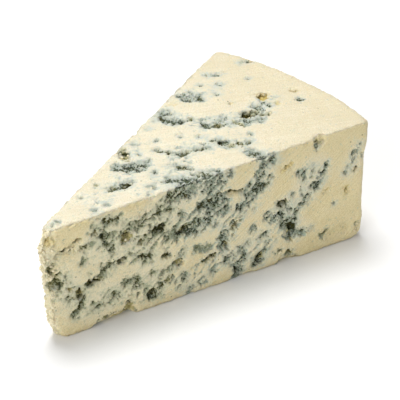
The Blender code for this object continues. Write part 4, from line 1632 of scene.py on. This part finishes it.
        # Painted shade: depth, cracks and lips add to the flecks, partly as mould and partly as the shade in
        # them
        total = total + tree.field("deep") * stained * 0.28 + crack * stained * 0.56
        total = total + tree.field("lip") * 0.40 + lace * 0.35 + crumb * (0.25 + top * 0.30)
        # The flecks are a little weaker on the top: painted light
        flecks = tree.ramp(total, *self.fleck_limits) * (1.0 - top * 0.10)
        return flecks, tree.ramp(total, *self.fringe_limits)

    def _dark(self, tree: NodeTree) -> Value:
        """Colour of the dark flecks: nearly black, lighter on the top as painted light, and green-brown among
        green and olive mould and along the painted shade of lips and rims.
        """
        dark = tree.mix(tree.field("top") * 0.75, self.night, self.top_night)
        greenish = tree.larger(tree.field("green"), tree.field("olive"))
        return tree.mix(greenish * 0.75, dark, self.green)

    def _relief(self, tree: NodeTree, body: Value, fleck: Value, crack: Value, grain: Value,
                wire: Value) -> Value:
        """The finest relief, in millimetres: flecks and cracks are hollows, the wire leaves lines."""
        sunk = body * self.body_sunk + fleck * self.fleck_sunk + crack * self.crack_sunk
        grain_height = self.grain_raised + tree.field("top") * self.top_grain_raised
        raised = grain * grain_height + wire * self.wire_raised
        inputs = {"Strength": 1.0, "Distance": 1.0 * MM, "Height": raised - sunk}
        return tree.outputs(tree.add("ShaderNodeBump", inputs))["Normal"]

    def _rind(self, tree: NodeTree, cheese: Value, place: Value, effects: SharedEffects) -> Value:
        """The curved side: dull ochre with darker blotches."""
        blotch = use_group(tree, effects.mottle, "Share", Place=place, Scale=self.blotch_scale, Sharpness=3.2)
        rind = tree.mix(blotch, self.rind_pale, self.rind_dark)
        return tree.mix(tree.field("rind"), cheese, rind)


@dataclass(frozen=True)
class BitFinish:
    """Finish of small loose bits: one tone fading into another."""

    name: str
    light: tuple
    dark: tuple
    roughness: float

    def build(self, effects: SharedEffects) -> bpy.types.Material:
        """Make the material.

        Args:
            effects: the shared node groups.

        Returns:
            The material.
        """
        material, tree, shader = new_material(self.name)
        share = use_group(tree, effects.mottle, "Share", Place=tree.places(), Scale=900.0, Sharpness=3.0)
        tree.put(shader.inputs["Base Color"], tree.mix(share, self.light, self.dark))
        tree.put(shader.inputs["Roughness"], self.roughness)
        tree.put(shader.inputs["Specular IOR Level"], 0.3)
        return material


MOULD_GRAIN = BitFinish("mould_grain", (0.17, 0.21, 0.17), (0.06, 0.075, 0.05), 0.8)
CRUMB = BitFinish("crumb", (0.88, 0.81, 0.60), (0.82, 0.73, 0.48), 0.7)


@dataclass(frozen=True)
class Softbox:
    """A round light that faces the wedge.

    It stands to the camera's right, towards the camera and up by these distances in metres.
    """

    name: str
    right: float
    nearer: float
    up: float
    size: float
    power: float


# A large soft light high above, a little behind and to the left, and a weak wide one in front
SOFTBOXES = (
    Softbox("key", -0.12, -0.24, 1.0, 0.54, 8.8),
    Softbox("front", -0.60, 0.86, 0.55, 0.90, 6.1),
)


@dataclass
class Studio:
    """Floor, light and camera."""

    form: Form
    azimuth: float = math.radians(-46.3)
    elevation: float = math.radians(33.84)
    lens: float = 180.0
    distance: float = 575.74 * MM
    aim: tuple = (61.78, 13.60, 21.42)
    floor_half: float = 3.0
    floor_gap: float = 0.02 * MM
    floor_grey: float = 0.93
    world_light: float = 0.31

    def build(self) -> None:
        """Put everything in the scene."""
        scene = bpy.context.scene
        scene.view_settings.view_transform = "Standard"
        self._floor()
        self._world(scene)
        for softbox in SOFTBOXES:
            self._light(softbox)
        self._camera(scene)

    def directions(self) -> tuple:
        """The camera's right, up and back directions."""
        sin, cos = math.sin(self.azimuth), math.cos(self.azimuth)
        level, rise = math.cos(self.elevation), math.sin(self.elevation)
        back = Vector((sin * level, -cos * level, rise))
        right = Vector((cos, sin, 0))
        return right, back.cross(right), back

    def _floor(self) -> None:
        """A wide pale floor just under the wedge."""
        bm = bmesh.new()
        bmesh.ops.create_grid(bm, x_segments=2, y_segments=2, size=self.floor_half)
        bmesh.ops.translate(bm, verts=bm.verts, vec=(0, 0, -self.floor_gap))
        mesh = bpy.data.meshes.new("floor")
        bm.to_mesh(mesh)
        bm.free()
        material, tree, shader = new_material("pale_floor")
        tree.put(shader.inputs["Base Color"], (self.floor_grey,) * 3)
        tree.put(shader.inputs["Roughness"], 0.9)
        tree.put(shader.inputs["Specular IOR Level"], 0.1)
        mesh.materials.append(material)
        link_mesh("floor", mesh)

    def _world(self, scene: bpy.types.Scene) -> None:
        """Even white light from all round.

        Args:
            scene: the scene that it lights.
        """
        world = bpy.data.worlds.new("studio")
        world.use_nodes = True
        nodes = world.node_tree.nodes
        backdrop = nodes.get("Background") or nodes.new("ShaderNodeBackground")
        backdrop.inputs["Color"].default_value = (1, 1, 1, 1)
        backdrop.inputs["Strength"].default_value = self.world_light
        scene.world = world

    def _light(self, softbox: Softbox) -> None:
        """Put one light in its place.

        Args:
            softbox: where it stands, its size and its power.
        """
        right, _, back = self.directions()
        nearer = Vector((back.x, back.y, 0)).normalized()
        place = nearer * softbox.nearer + right * softbox.right + Vector((0, 0, softbox.up))
        light = bpy.data.lights.new(softbox.name, "AREA")
        light.shape = "DISK"
        light.size = softbox.size
        light.energy = softbox.power
        lamp = bpy.data.objects.new(softbox.name, light)
        lamp.location = place
        lamp.rotation_euler = (-place).to_track_quat("-Z", "Y").to_euler()
        bpy.context.scene.collection.objects.link(lamp)

    def _camera(self, scene: bpy.types.Scene) -> None:
        """A long lens, looking down on the front cut and the top.

        Args:
            scene: the scene that it is the camera of.
        """
        right, up, back = self.directions()
        along, inward = self.form.along[Face.FRONT], -self.form.outward[Face.FRONT]
        aim = self.form.axis + (along * self.aim[0] + inward * self.aim[1]) * MM
        aim.z += self.aim[2] * MM
        camera = bpy.data.cameras.new("camera")
        camera.lens = self.lens
        camera.sensor_width = 36.0
        camera.clip_start = 0.01
        holder = bpy.data.objects.new("camera", camera)
        holder.location = aim + back * self.distance
        axes = Matrix((right, up, back)).transposed()
        holder.rotation_euler = axes.to_euler()
        scene.collection.objects.link(holder)
        scene.camera = holder


def attach(piece: bpy.types.Object, material: bpy.types.Material) -> None:
    """Give a piece its material and its body, and report it.

    Args:
        piece: the finished piece.
        material: what it is made of.
    """
    piece.data.materials.append(material)
    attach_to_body(piece, BODY)
    log.info("%s: %d faces", piece.name, len(piece.data.polygons))


def pick_seats(draw: np.random.Generator, weight: np.ndarray, count: int) -> np.ndarray:
    """Vertex numbers drawn by weight, none twice."""
    able = np.nonzero(weight > 0)[0]
    share = weight[able] / weight[able].sum()
    return draw.choice(able, size=min(count, len(able)), replace=False, p=share)


def main() -> None:
    """Build every piece, then the studio."""
    logging.basicConfig(level=logging.INFO, format="%(name)s %(message)s")
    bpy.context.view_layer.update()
    form = Form(*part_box(SOLID))
    effects = SharedEffects()

    body = CheeseBody(form, Marbling(form))
    cheese = body.build()
    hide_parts(SOLID)
    attach(cheese, CheeseFinish().build(effects))

    points, normals = read_points(cheese.data), read_normals(cheese.data)
    draw = np.random.default_rng(SEAT_SEED)
    seats = pick_seats(draw, body.grain_weights(points), GRAINS.count)
    attach(GRAINS.build(points[seats], normals[seats], form), MOULD_GRAIN.build(effects))
    seats = pick_seats(draw, body.crumb_weights(points), CRUMBS.count)
    attach(CRUMBS.build(points[seats], normals[seats], form), CRUMB.build(effects))

    Studio(form).build()


if __name__ == "__main__":
    main()
